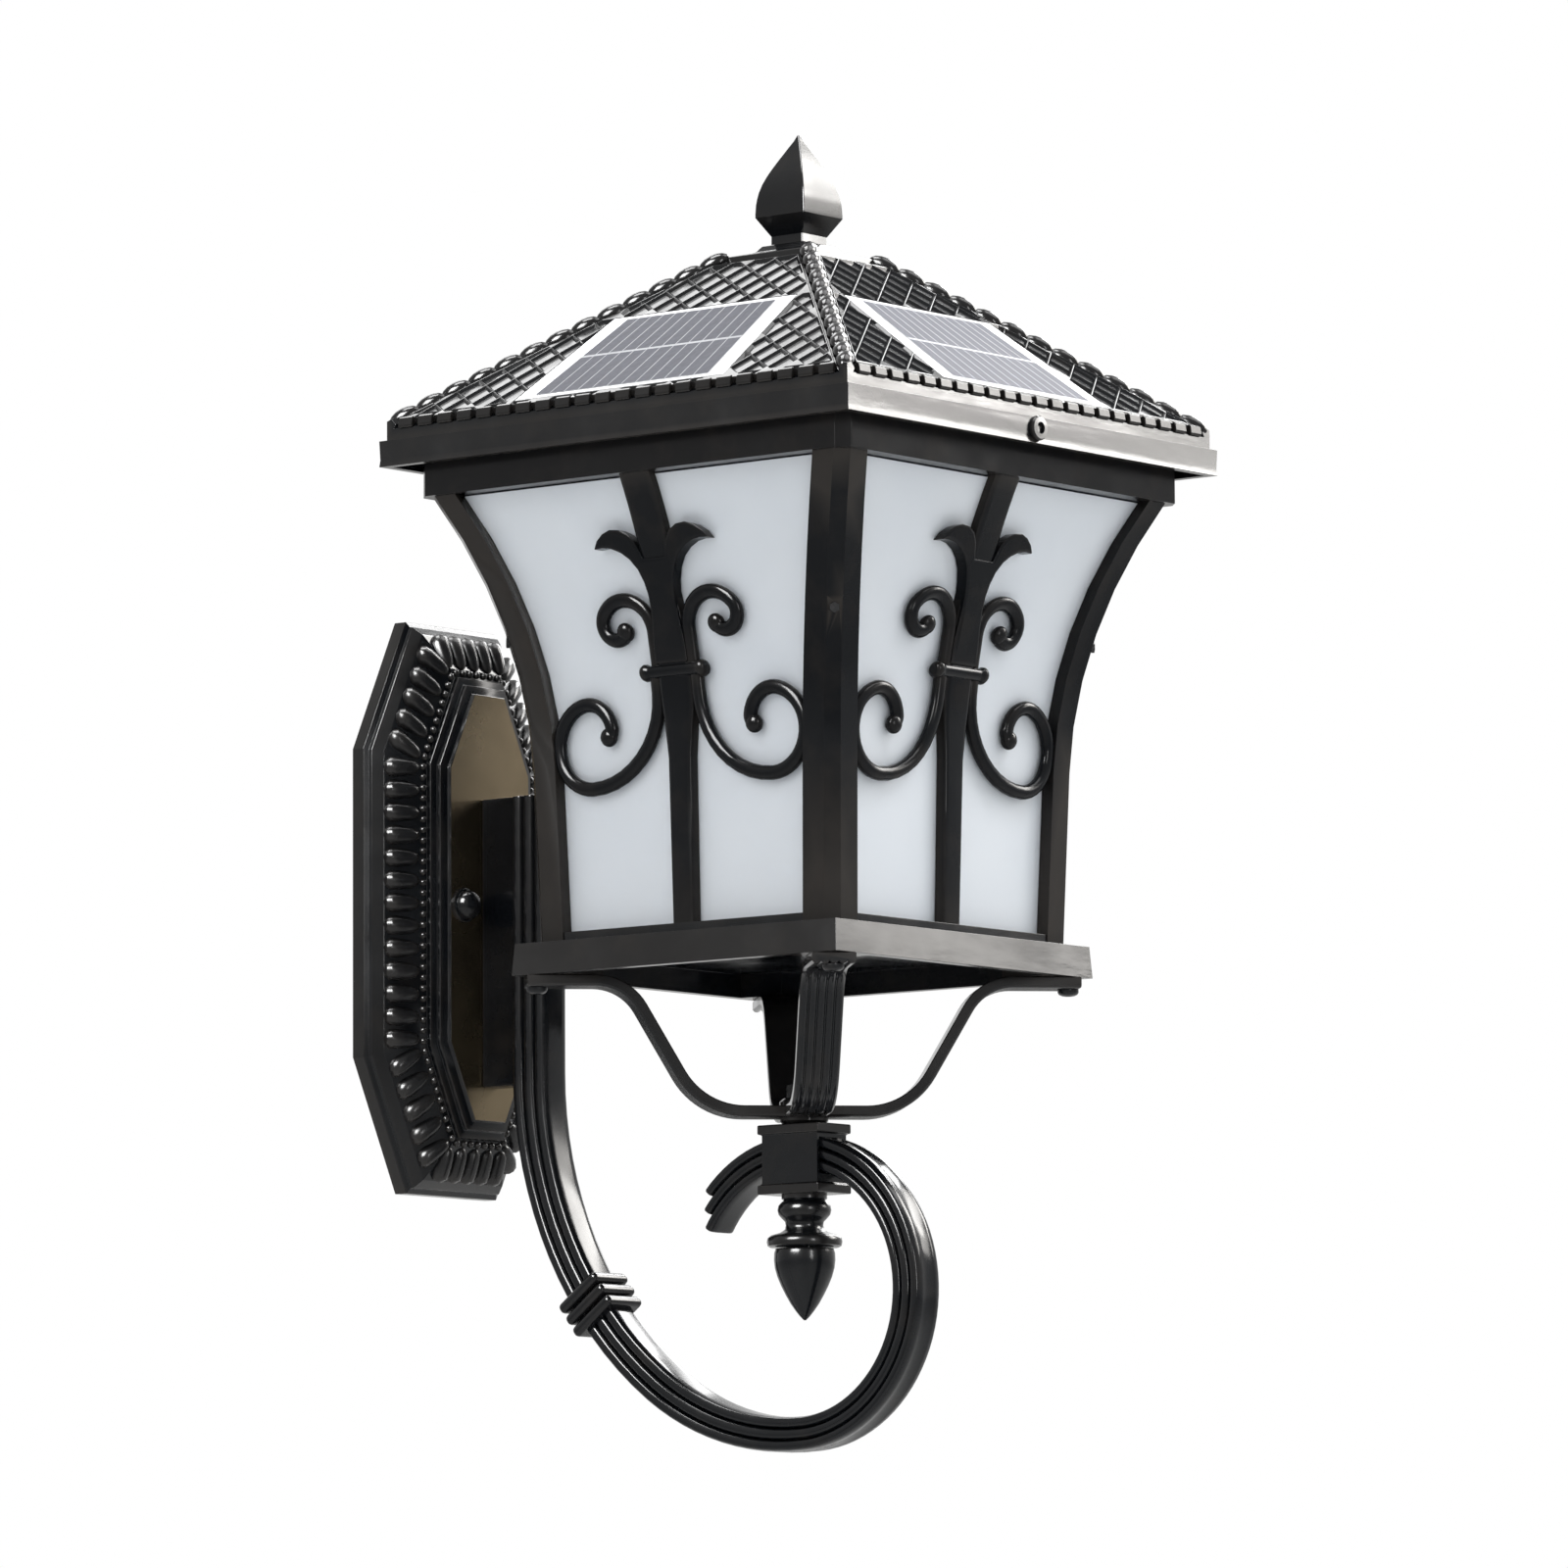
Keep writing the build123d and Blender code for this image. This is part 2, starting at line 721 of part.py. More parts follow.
def chamfer_strip():
    """All that lies inside two opposite chamfers of the posts."""
    face = Plane.XZ * side_face(lambda half: sqrt(2) * half - post_chamfer / sqrt(2))
    return Rot(0, 0, 45) * extrude(face, amount=3 * rail_half, both=True)


def slice_of(piece, z_low, z_high):
    return piece & square_box(2 * rail_half, z_low, z_high)


body_form = flared(0) & chamfer_strip() & (Rot(0, 0, 90) * chamfer_strip())
inner_form = flared(post_thick)
between_posts = strip_x(post_width) + strip_y(post_width)
boss_form = inner_form - strip_x(post_boss) - strip_y(post_boss)

# Tray with a sill between the posts
tray_hollow_z = tray_top_z - tray_floor
tray = stepped_square([(tray_half_bottom, tray_bottom_z), (tray_half_top, tray_top_z)])
tray = tray - square_box(tray_half_top - tray_skirt, tray_bottom_z - 1, tray_hollow_z)
pad_at = tray_half_top - tray_pad / 2
pad_z = (tray_bottom_z + tray_hollow_z) / 2
pad = Pos(pad_at, pad_at, pad_z) * Box(tray_pad, tray_pad, tray_hollow_z - tray_bottom_z)
tray = tray + four_round(pad)
sill = slice_of(flared(grille_front), tray_top_z, tray_top_z + sill_height) - inner_form
tray = tray + (sill & between_posts)
boss_middle = (post_thick + post_boss) / 2
foot_screw_at = foot_half - boss_middle
foot_seat_z = tray_hollow_z - tray_floor
foot_bore = Pos(foot_screw_at, foot_screw_at, 0) * (
    rod(screw_r + hole_gap, foot_seat_z - 1, tray_top_z + 1)
    + rod(screw_head_r + fit, tray_bottom_z - 1, foot_seat_z)
)
leg_bore_top = leg_screw_seat + leg_screw_length + fit
leg_bore = Pos(leg_screw_at, 0, 0) * rod(leg_screw_r + hole_gap, tray_bottom_z - 1, leg_bore_top)
tray = tray - four_round(foot_bore)
tray = tray - [Rot(0, 0, 45) * turned for turned in four_round(leg_bore)]
nodes["tray"] = out(tray)

foot_screw_length = tray_top_z - foot_seat_z + foot_screw_thread
foot_screw = Pos(foot_screw_at, foot_screw_at, foot_seat_z) * screw(
    screw_r, foot_screw_length, screw_head_r, screw_head_h
)
nodes["post_foot_screws"] = group([out(turned) for turned in four_round(foot_screw)])

# Corner posts: flared angle sections with a screw boss at each end
bosses = slice_of(boss_form, tray_top_z, tray_top_z + post_boss_h)
bosses = bosses + slice_of(boss_form, rail_z - post_boss_h, rail_z)
posts = body_form - inner_form - between_posts
posts = posts + bosses
rail_screw_at = post_head_half - boss_middle - boss_lean
post_bores = Pos(foot_screw_at, foot_screw_at, 0) * rod(
    screw_r + hole_gap, tray_top_z - 1, tray_top_z + foot_screw_thread + fit
)
post_bores = post_bores + Pos(rail_screw_at, rail_screw_at, 0) * rod(
    screw_r + hole_gap, rail_z - post_boss_h, rail_z + 1
)
posts = posts - four_round(post_bores)
screw_reach = sqrt(2) * half_at(clip_z) - post_chamfer / sqrt(2)
clip_depth = post_thick + fit + pane_thick + fit + clip_thick
screw_depth = screw_reach - sqrt(2) * (half_at(clip_z) - clip_depth) - screw_tip_gap
post_screw_bore = Pos(screw_reach, 0, clip_z) * Rot(0, -90, 0) * (
    rod(screw_r + hole_gap, -1, screw_depth + fit)
    + rod(post_screw_head_r + hole_gap, -2 * post_screw_head_h, 0)
)
post_screw_bores = [Rot(0, 0, 45) * turned for turned in four_round(post_screw_bore)]
posts = posts - post_screw_bores
corner_names = {(1, 1): "rear_right", (-1, 1): "rear_left", (1, -1): "front_right", (-1, -1): "front_left"}
for solid in posts.solids():
    middle = solid.center()
    corner = corner_names[(1 if middle.X > 0 else -1, 1 if middle.Y > 0 else -1)]
    nodes["post_" + corner] = out(solid)

post_screw = Pos(screw_reach, 0, clip_z) * Rot(0, -90, 0) * screw(
    screw_r, screw_depth, post_screw_head_r, post_screw_head_h
)
nodes["post_screws"] = group([out(Rot(0, 0, 45) * turned) for turned in four_round(post_screw)])

# Corner clips that hold two panes each
clip_block = inner_form - strip_x(clip_depth) - strip_y(clip_depth)
tab_x = (strip_x(clip_depth - clip_thick) - strip_x(clip_depth)) & (
    strip_y(clip_depth) - strip_y(clip_reach)
)
clips = clip_block + tab_x + Rot(0, 0, 90) * tab_x
clips = slice_of(clips, clip_z - clip_height / 2, clip_z + clip_height / 2) - post_screw_bores
nodes["glass_clips"] = group([out(clips)])

# Top rail: a square ring that the roof sits on
rail_top_z = rail_z + rail_height
ring_face = Rectangle(2 * rail_half, 2 * rail_half)
ring_face = chamfer(ring_face.vertices(), post_chamfer)
rail = extrude(Plane.XY.offset(rail_z) * ring_face, amount=rail_height)
rail = rail - square_box(rail_half - rail_width, rail_z - 1, rail_top_z + 1)
rail_screw_seat = rail_top_z - screw_head_h - fit
rail_bore = Pos(rail_screw_at, rail_screw_at, 0) * (
    rod(screw_r + hole_gap, rail_z - 1, rail_top_z)
    + rod(screw_head_r + fit, rail_screw_seat, rail_top_z + 1)
)
rail = rail - four_round(rail_bore)
nodes["top_rail"] = out(rail)
rail_screw_length = rail_screw_seat - rail_z + post_boss_h - screw_tip_gap
rail_screw = Pos(rail_screw_at, rail_screw_at, rail_screw_seat) * Rot(180, 0, 0) * screw(
    screw_r, rail_screw_length, screw_head_r, screw_head_h
)
nodes["rail_screws"] = group([out(turned) for turned in four_round(rail_screw)])

# Scroll grilles. Outlines are drawn flat as (across, height) and cut to the flared side.


def bend(centre, outer, start, end):
    """Curved piece of a scroll bar; outer is its outer radius, and the turn may go either way."""
    flats = ceil(abs(end - start) / arc_step)
    angles = [start + (end - start) * k / flats for k in range(flats + 1)]
    rim = [polar(centre, outer, a) for a in angles]
    bore = [polar(centre, outer - bar_width, a) for a in reversed(angles)]
    return make_face(Polyline(rim + bore, close=True))


def next_centre(centre, outer, following, angle):
    """Centre of the bend that goes on from this one with another radius."""
    return polar(centre, outer - following, angle)


def scroll(turns, centre, bud_r):
    """Chain of tangent bends, given as (outer radius, start, end), closed by a round bud."""
    pieces = []
    for k, (outer, start, end) in enumerate(turns):
        pieces.append(bend(centre, outer, start, end))
        if k + 1 < len(turns):
            centre = next_centre(centre, outer, turns[k + 1][0], end)
    outer, start, end = turns[-1]
    tip = polar(centre, outer - bar_width / 2, end)
    pieces.append(Pos(*tip) * RegularPolygon(bud_r, 6))
    return pieces


def stem(left, low, high):
    """Straight end of a scroll bar, which runs into the band."""
    return Pos(left + bar_width / 2, (low + high) / 2) * Rectangle(bar_width, high - low)


def grille_outline():
    """Mullion, leaves, band and the two pairs of scrolls of one side."""
    mullion = [
        (mullion_foot_half, tray_top_z),
        (mullion_neck_half, neck_z),
        (mullion_top_half, leaf_z),
        (mullion_top_half, rail_z),
    ]
    mullion = mullion + [(-x, z) for x, z in reversed(mullion)]
    leaf_shape = (
        (0.34, -0.48),
        (0.63, -0.27),
        (0.90, -0.30),
        (1.00, -0.13),
        (0.78, 0.07),
        (0.27, 0.04),
        (0.00, 0.00),
    )
    leaf = [(0, leaf_z - leaf_height)]
    leaf = leaf + [(leaf_reach * x, leaf_z + leaf_height * z) for x, z in leaf_shape]
    lower_r = lower_scroll_radii
    lower = scroll(
        [
            (lower_r[0], 180, 270),
            (lower_r[1], 270, 435),
            (lower_r[2], 435, 530),
            (lower_r[3], 530, 650),
        ],
        (lower_scroll_x, lower_scroll_z),
        lower_bud_r,
    )
    band_middle = band_z + band_height / 2
    lower.append(stem(lower_scroll_x - lower_r[0], lower_scroll_z, band_middle))
    upper_r = upper_scroll_radii
    upper = scroll(
        [(upper_r[0], 180, 40), (upper_r[1], 40, -120), (upper_r[2], -120, -215)],
        (upper_scroll_x, upper_scroll_z),
        upper_bud_r,
    )
    upper.append(stem(upper_scroll_x - upper_r[0], band_middle, upper_scroll_z))
    band = Pos(0, band_middle) * Rectangle(2 * band_half, band_height)
    half = [make_face(Polyline(leaf, close=True))] + lower + upper
    whole = make_face(Polyline(mullion, close=True)) + band
    return whole + half + [mirror(piece, about=Plane.YZ) for piece in half]


grille_zone = strip_y(grille_front) - strip_y(post_thick)
grille_zone = grille_zone & strip_x(post_width)
grille_zone = grille_zone & (Pos(0, -2 * rail_half, 0) * Box(4 * rail_half, 4 * rail_half, 4 * rail_half))
grille_zone = slice_of(grille_zone, tray_top_z + sill_height, rail_z)
grille = extrude(Plane.XZ * grille_outline(), amount=2 * rail_half) & grille_zone
for side, turn in sides.items():
    nodes["grille_" + side] = out(Rot(0, 0, turn) * grille.solids().sort_by(SortBy.VOLUME)[-1])

# Frosted panes behind the posts and grilles
pane_front = post_thick + fit
pane = (strip_y(pane_front) - strip_y(pane_front + pane_thick)) & strip_x(post_width - pane_lap)
pane = pane & (Pos(0, -2 * rail_half, 0) * Box(4 * rail_half, 4 * rail_half, 4 * rail_half))
pane = slice_of(pane, tray_top_z, rail_z - fit)
for side, turn in sides.items():
    nodes["pane_" + side] = out(Rot(0, 0, turn) * pane)

# Roof shell
rim_z = eaves_z + fascia_height
slope_z = rim_z + rim_height
cap_z = slope_z + slope_height
slope_run = rim_half - cap_half
slope_long = hypot(slope_run, slope_height)
sin_pitch = slope_height / slope_long
cos_pitch = slope_run / slope_long
roof_outer = square_box(fascia_half, eaves_z, rim_z) + square_box(rim_half, rim_z, slope_z)
roof_outer = roof_outer + stepped_square([(rim_half, slope_z), (cap_half, cap_z)])
ceiling_z = rail_top_z
ledge_z = ceiling_z + ceiling_thick + fit
inner_rim = rim_half - roof_wall / sin_pitch
inner_cap_z = cap_z - roof_wall
inner_cap = inner_rim - (inner_cap_z - slope_z) * slope_run / slope_height
cavity = square_box(fascia_half - fascia_wall, eaves_z - 1, ledge_z)
cavity = cavity + square_box(inner_rim, ledge_z, slope_z)
cavity = cavity + stepped_square([(inner_rim, slope_z), (inner_cap, inner_cap_z)])
ceiling_boss = Pos(ceiling_post, ceiling_post, 0) * rod(
    ceiling_boss_r, ceiling_z + ceiling_thick, cap_z
)
roof = roof_outer - cavity + [boss & roof_outer for boss in four_round(ceiling_boss)]
hip_vector = Vector(cap_half - rim_half, cap_half - rim_half, slope_height)
hip_plane = Plane(Vector(rim_half, rim_half, slope_z), z_dir=hip_vector)
hip = extrude(hip_plane * RegularPolygon(hip_r, 6), amount=hip_vector.length)
hip = hip & square_box(rim_half, slope_z, cap_z)
hip = hip - stepped_square([(inner_rim, slope_z), (inner_cap, inner_cap_z)])
roof = roof + four_round(hip)
roof = roof - rod(finial_bolt_r + hole_gap, inner_cap_z - 1, cap_z + 1)
ceiling_bore = Pos(ceiling_post, ceiling_post, 0) * rod(
    screw_r + hole_gap, ceiling_z, ceiling_z + ceiling_thick + foot_screw_thread + fit
)
roof = roof - four_round(ceiling_bore)
roof_screw_at_z = eaves_z + roof_screw_z
for turn in (0, 180):
    roof_bore = Pos(0, -fascia_half, roof_screw_at_z) * Rot(-90, 0, 0) * rod(
        roof_screw_r + hole_gap, -1, 2 * fascia_wall
    )
    roof = roof - Rot(0, 0, turn) * roof_bore
nodes["roof_shell"] = out(roof)

# Two set screws through the fascia that bear on the top rail
roof_screw = Pos(0, -fascia_half, roof_screw_at_z) * Rot(-90, 0, 0) * screw(
    roof_screw_r, fascia_half - rail_half - fit, roof_screw_head_r, roof_screw_head_h
)
nodes["roof_screws"] = group([out(Rot(0, 0, turn) * roof_screw) for turn in (0, 180)])

# Lattices and solar panels, drawn flat as (across, up the slope)
slope_plane = Plane(
    Vector(0, -rim_half, slope_z), x_dir=Vector(1, 0, 0), z_dir=Vector(0, -sin_pitch, cos_pitch)
)
hip_lean = sqrt(1 + cos_pitch * cos_pitch)


def slope_half(up, margin):
    """Half width of the slope at a distance up it, clear of the hips by margin."""
    return rim_half - up * cos_pitch - margin * hip_lean


panel_top_half = slope_half(panel_foot + panel_length, lattice_margin) - panel_side_gap
panel_bottom_half = panel_top_half + panel_flare


def panel_half(up):
    share = (up - panel_foot) / panel_length
    return panel_bottom_half + (panel_top_half - panel_bottom_half) * share


def trapezium(low, high, half_low, half_high):
    corners = [(-half_low, low), (half_low, low), (half_high, high), (-half_high, high)]
    return make_face(Polyline(corners, close=True))


def cell_fits(across, up, half_w, half_h):
    """True where a diamond leaves a whole rib to the edges and to the solar panel."""
    low = up - half_h
    high = up + half_h
    if low < lattice_foot + cell_rib or high > lattice_top - cell_rib:
        return False
    if abs(across) + half_w > slope_half(up, lattice_margin + cell_rib):
        return False
    if abs(across) > slope_half(high, lattice_margin + cell_rib):
        return False
    above = low > panel_foot + panel_length + cell_rib
    beside = abs(across) - half_w > panel_half(up) + cell_rib
    return above or beside


lattice_top = slope_long - lattice_foot
lattice_face = trapezium(
    lattice_foot,
    lattice_top,
    slope_half(lattice_foot, lattice_margin),
    slope_half(lattice_top, lattice_margin),
)
lattice_face = lattice_face - trapezium(
    panel_foot - panel_gap,
    panel_foot + panel_length + panel_gap,
    panel_bottom_half + panel_gap,
    panel_top_half + panel_gap,
)
hole_half_w = cell_width / 2 - cell_rib / 2 * hypot(cell_width, cell_height) / cell_height
hole_half_h = hole_half_w * cell_height / cell_width
diamond = make_face(
    Polyline(
        [(hole_half_w, 0), (0, hole_half_h), (-hole_half_w, 0), (0, -hole_half_h)], close=True
    )
)
rows = ceil(2 * slope_long / cell_height)
columns = ceil(rim_half / cell_width)
holes = []
for row in range(rows):
    up = lattice_foot + cell_rib + hole_half_h + row * cell_height / 2
    shift = cell_width / 2 if row % 2 else 0
    for column in range(-columns, columns + 1):
        across = column * cell_width + shift
        if cell_fits(across, up, hole_half_w, hole_half_h):
            holes.append(Pos(across, up) * diamond)
lattice = extrude(slope_plane * (lattice_face - holes), amount=lattice_thick)
panel_face = trapezium(
    panel_foot, panel_foot + panel_length, panel_bottom_half, panel_top_half
)
solar_panel = extrude(slope_plane * panel_face, amount=panel_thick)
for side, turn in sides.items():
    nodes["lattice_" + side] = out(Rot(0, 0, turn) * lattice)
    nodes["solar_panel_" + side] = out(Rot(0, 0, turn) * solar_panel)

# Cap and finial on the top of the roof
cap = stepped_square(
    [
        (cap_base_half, cap_z),
        (cap_base_half, cap_z + cap_base_h),
        (cap_neck_half + cap_shoulder, cap_z + cap_height * 0.6),
        (cap_neck_half, cap_z + cap_height),
    ]
)
finial_z = cap_z + cap_height
cap = cap - rod(finial_bolt_r + hole_gap, cap_z - 1, finial_z + 1)
nodes["roof_cap"] = out(cap)


def finial_side():
    """Outline of one side: neck, spreading underside and pointed bulb."""
    bulb_z = finial_z + finial_bulb_h
    rise = finial_height - finial_bulb_h
    right = [
        (finial_neck_half, finial_z),
        (finial_neck_half, finial_z + finial_neck_h),
        (finial_bulb_half, bulb_z),
    ]
    for share, width in ((0.15, 0.985), (0.3, 0.92), (0.5, 0.73), (0.7, 0.46), (0.85, 0.24)):
        right.append((finial_bulb_half * width, bulb_z + rise * share))
    right.append((finial_tip_half, finial_z + finial_height))
    left = [(-x, z) for x, z in reversed(right)]
    return make_face(Polyline(right + left, close=True))


finial = extrude(Plane.XZ * finial_side(), amount=2 * finial_bulb_half, both=True)
finial = finial & Rot(0, 0, 90) * finial
finial = finial - rod(finial_bolt_r + hole_gap, finial_z - 1, finial_z + finial_bolt_up + fit)
nodes["finial"] = out(finial)
finial_bolt_length = roof_wall + cap_height + finial_bolt_up
finial_bolt = Pos(0, 0, inner_cap_z) * screw(
    finial_bolt_r, finial_bolt_length, finial_bolt_head_r, finial_bolt_head_h
)
nodes["finial_bolt"] = out(finial_bolt)

# Ceiling plate that closes the roof and rests on the top rail
ceiling_top_z = ceiling_z + ceiling_thick
ceiling = square_box(fascia_half - fascia_wall - ceiling_edge_gap, ceiling_z, ceiling_top_z)
ceiling_hole = Pos(ceiling_post, ceiling_post, 0) * rod(
    screw_r + hole_gap, ceiling_z - 1, ceiling_top_z + 1
)
ceiling = ceiling - four_round(ceiling_hole)
switch_at = Pos(switch_x, 0, 0)
neck_hole = rod(switch_neck_r + hole_gap, ceiling_z - 1, ceiling_top_z + 1, turned_sides)
ceiling = ceiling - switch_at * neck_hole
nodes["ceiling_plate"] = out(ceiling)
ceiling_screw = Pos(ceiling_post, ceiling_post, ceiling_z) * screw(
    screw_r, ceiling_thick + foot_screw_thread, screw_head_r, screw_head_h
)
nodes["ceiling_screws"] = group([out(turned) for turned in four_round(ceiling_screw)])

# Battery holder with two cells, above the ceiling plate
cell_z = ceiling_top_z + holder_floor + cell_r + fit
holder_depth = cell_pitch + 2 * (cell_r + fit + holder_wall)
holder_length = cell_length + 2 * (fit + holder_wall)
cells = [
    Pos(0, holder_y + y, cell_z)
    * Rot(0, 90, 0)
    * rod(cell_r, -cell_length / 2, cell_length / 2, turned_sides)
    for y in (-cell_pitch / 2, cell_pitch / 2)
]
holder = Pos(0, holder_y, ceiling_top_z + holder_height / 2) * Box(
    holder_length, holder_depth, holder_height
)
for y in (-cell_pitch / 2, cell_pitch / 2):
    trough = rod(cell_r + fit, -cell_length / 2 - fit, cell_length / 2 + fit, turned_sides)
    holder = holder - Pos(0, holder_y + y, cell_z) * Rot(0, 90, 0) * trough
nodes["battery_holder"] = out(holder)
nodes["battery_cells"] = group([out(cell) for cell in cells])

# Charge controller board on four standoffs
board_z = ceiling_top_z + standoff_h
standoff_x = board_width / 2 - standoff_inset
standoff_y = board_depth / 2 - standoff_inset
standoffs = [
    Pos(x, board_y + y, 0) * rod(standoff_r, ceiling_top_z, board_z)
    for x in (-standoff_x, standoff_x)
    for y in (-standoff_y, standoff_y)
]
nodes["board_standoffs"] = group([out(piece) for piece in standoffs])
board = Pos(0, board_y, board_z + board_thick / 2) * Box(board_width, board_depth, board_thick)
board_top_z = board_z + board_thick
board = board + Pos(chip_x, board_y, board_top_z + chip_h / 2) * Box(chip_size, chip_size, chip_h)
board = board + Pos(can_x, board_y, board_top_z + can_h / 2) * Box(can_width, can_depth, can_h)
nodes["controller_board"] = out(board)

# Ring of light-emitting diodes under the ceiling plate, with an opal cover
led_z = ceiling_z - board_thick
led_board = rod(led_board_r, led_z, ceiling_z, turned_sides)
for k in range(led_count):
    led = Rot(0, 0, 360 * k / led_count) * Pos(led_ring_r, 0, led_z - led_h / 2)
    led_board = led_board + led * Box(led_size, led_size, led_h)
nodes["led_board"] = out(led_board)
diffuser = rod(diffuser_r, ceiling_z - diffuser_h, ceiling_z, turned_sides)
diffuser = diffuser - rod(
    diffuser_r - diffuser_wall,
    ceiling_z - diffuser_h + diffuser_wall,
    ceiling_z + 1,
    turned_sides,
)
nodes["led_diffuser"] = out(diffuser)

# Push switch: body above the plate, threaded neck through it, ring nut and button below
neck_end_z = ceiling_z - switch_neck_drop
chamber_z = ceiling_top_z
flange_top_z = chamber_z + fit + button_flange_h
switch_body = Pos(0, 0, ceiling_top_z + switch_height / 2) * Box(
    switch_size, switch_size, switch_height
)
switch_body = switch_body + rod(switch_neck_r, neck_end_z, ceiling_top_z, turned_sides)
switch_body = switch_body - rod(button_r + button_gap, neck_end_z - 1, chamber_z, turned_sides)
switch_body = switch_body - rod(
    button_flange_r + button_gap, chamber_z, flange_top_z + button_travel + fit, turned_sides
)
nodes["switch_body"] = out(switch_at * switch_body)
ring_nut = rod(switch_nut_r, ceiling_z - switch_nut_h, ceiling_z, turned_sides)
ring_nut = ring_nut - rod(
    switch_neck_r + hole_gap, ceiling_z - switch_nut_h - 1, ceiling_z + 1, turned_sides
)
nodes["switch_nut"] = out(switch_at * ring_nut)
button = rod(button_r, neck_end_z - button_out, chamber_z + fit, turned_sides)
button = button + rod(button_flange_r, chamber_z + fit, flange_top_z, turned_sides)
nodes["switch_button"] = out(switch_at * button)

os.makedirs("parts", exist_ok=True)
for name, piece in nodes.items():
    export_step(piece, os.path.join("parts", name + ".step"))
print(len(nodes), "nodes")
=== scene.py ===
import math
import bmesh
import bpy
from mathutils import Matrix, Vector


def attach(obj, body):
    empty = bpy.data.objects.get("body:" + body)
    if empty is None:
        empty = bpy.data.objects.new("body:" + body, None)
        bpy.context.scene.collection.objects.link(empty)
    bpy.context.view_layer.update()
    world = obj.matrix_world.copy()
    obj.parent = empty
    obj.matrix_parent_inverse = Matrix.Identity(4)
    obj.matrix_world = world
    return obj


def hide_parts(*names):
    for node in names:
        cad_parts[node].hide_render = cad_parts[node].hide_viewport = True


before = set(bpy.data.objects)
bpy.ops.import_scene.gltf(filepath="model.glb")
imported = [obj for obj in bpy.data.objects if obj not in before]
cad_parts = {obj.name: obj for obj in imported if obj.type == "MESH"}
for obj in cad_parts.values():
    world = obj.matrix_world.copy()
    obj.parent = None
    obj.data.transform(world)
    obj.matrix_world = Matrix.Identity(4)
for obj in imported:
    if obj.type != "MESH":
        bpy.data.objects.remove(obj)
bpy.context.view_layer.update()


# The wall strap is a flat steel bar that two screws hold to the wall. Two studs pressed into it
# carry the wall plate. Strap and studs are punched and rolled steel with a pale zinc plating.
mm = 0.001


def new_finish(name):
    """A material and, in it, the piece's own coordinates."""
    finish = bpy.data.materials.new(name)
    finish.use_nodes = True
    coordinates = finish.node_tree.nodes.new("ShaderNodeTexCoord")
    return finish, coordinates.outputs["Object"]


def shader_of(finish):
    """The shader of a finish."""
    return finish.node_tree.nodes["Principled BSDF"]


def patches(finish, place, size, detail):
    """Soft patches of about the given size, from 0 to 1."""
    noise = finish.node_tree.nodes.new("ShaderNodeTexNoise")
    noise.inputs["Scale"].default_value = 1 / size
    noise.inputs["Detail"].default_value = detail
    finish.node_tree.links.new(place, noise.inputs["Vector"])
    return noise.outputs["Fac"]


def colour_by(finish, share, low, high, low_colour, high_colour):
    """A colour that goes from one to the other as the share goes from low to high."""
    ramp = finish.node_tree.nodes.new("ShaderNodeValToRGB")
    ramp.color_ramp.elements[0].position = low
    ramp.color_ramp.elements[0].color = (*low_colour, 1)
    ramp.color_ramp.elements[1].position = high
    ramp.color_ramp.elements[1].color = (*high_colour, 1)
    finish.node_tree.links.new(share, ramp.inputs["Fac"])
    return ramp.outputs["Color"]


def number_by(finish, share, low, high, low_number, high_number):
    """A number that goes from one to the other as the share goes from low to high."""
    spread = finish.node_tree.nodes.new("ShaderNodeMapRange")
    spread.inputs["From Min"].default_value = low
    spread.inputs["From Max"].default_value = high
    spread.inputs["To Min"].default_value = low_number
    spread.inputs["To Max"].default_value = high_number
    finish.node_tree.links.new(share, spread.inputs["Value"])
    return spread.outputs["Result"]


def raised(finish, height, depth):
    """A bump that raises the surface by the given height pattern."""
    bump = finish.node_tree.nodes.new("ShaderNodeBump")
    bump.inputs["Strength"].default_value = 1
    bump.inputs["Distance"].default_value = depth
    finish.node_tree.links.new(height, bump.inputs["Height"])
    return bump


def roughen(finish, size, detail, depth):
    """Gives the surface a grain of the given size and depth."""
    coordinates = finish.node_tree.nodes["Texture Coordinate"]
    grain = raised(finish, patches(finish, coordinates.outputs["Object"], size, detail), depth)
    finish.node_tree.links.new(grain.outputs["Normal"], shader_of(finish).inputs["Normal"])


def mottled(name, size, detail, spread, colours, dulls):
    """A finish whose colour and dullness change in soft patches."""
    finish, place = new_finish(name)
    share = patches(finish, place, size, detail)
    colour = colour_by(finish, share, *spread, *colours)
    finish.node_tree.links.new(colour, shader_of(finish).inputs["Base Color"])
    dull = number_by(finish, share, 0.3, 0.7, *dulls)
    finish.node_tree.links.new(dull, shader_of(finish).inputs["Roughness"])
    return finish


def coat_nodes(finish, *nodes):
    """Gives the finish to solids that show as they are."""
    for node in nodes:
        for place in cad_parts[node].material_slots:
            place.material = finish


zinc_colours = [(0.46, 0.47, 0.48), (0.62, 0.62, 0.61)]
zinc = mottled("zinc_plate", 4 * mm, 4, (0.35, 0.65), zinc_colours, (0.28, 0.46))
shader_of(zinc).inputs["Metallic"].default_value = 1
roughen(zinc, 0.6 * mm, 2, 0.01 * mm)
coat_nodes(zinc, "wall_strap", "strap_studs", "arm_bolts", "finial_bolt")
coat_nodes(zinc, "board_standoffs", "switch_nut")


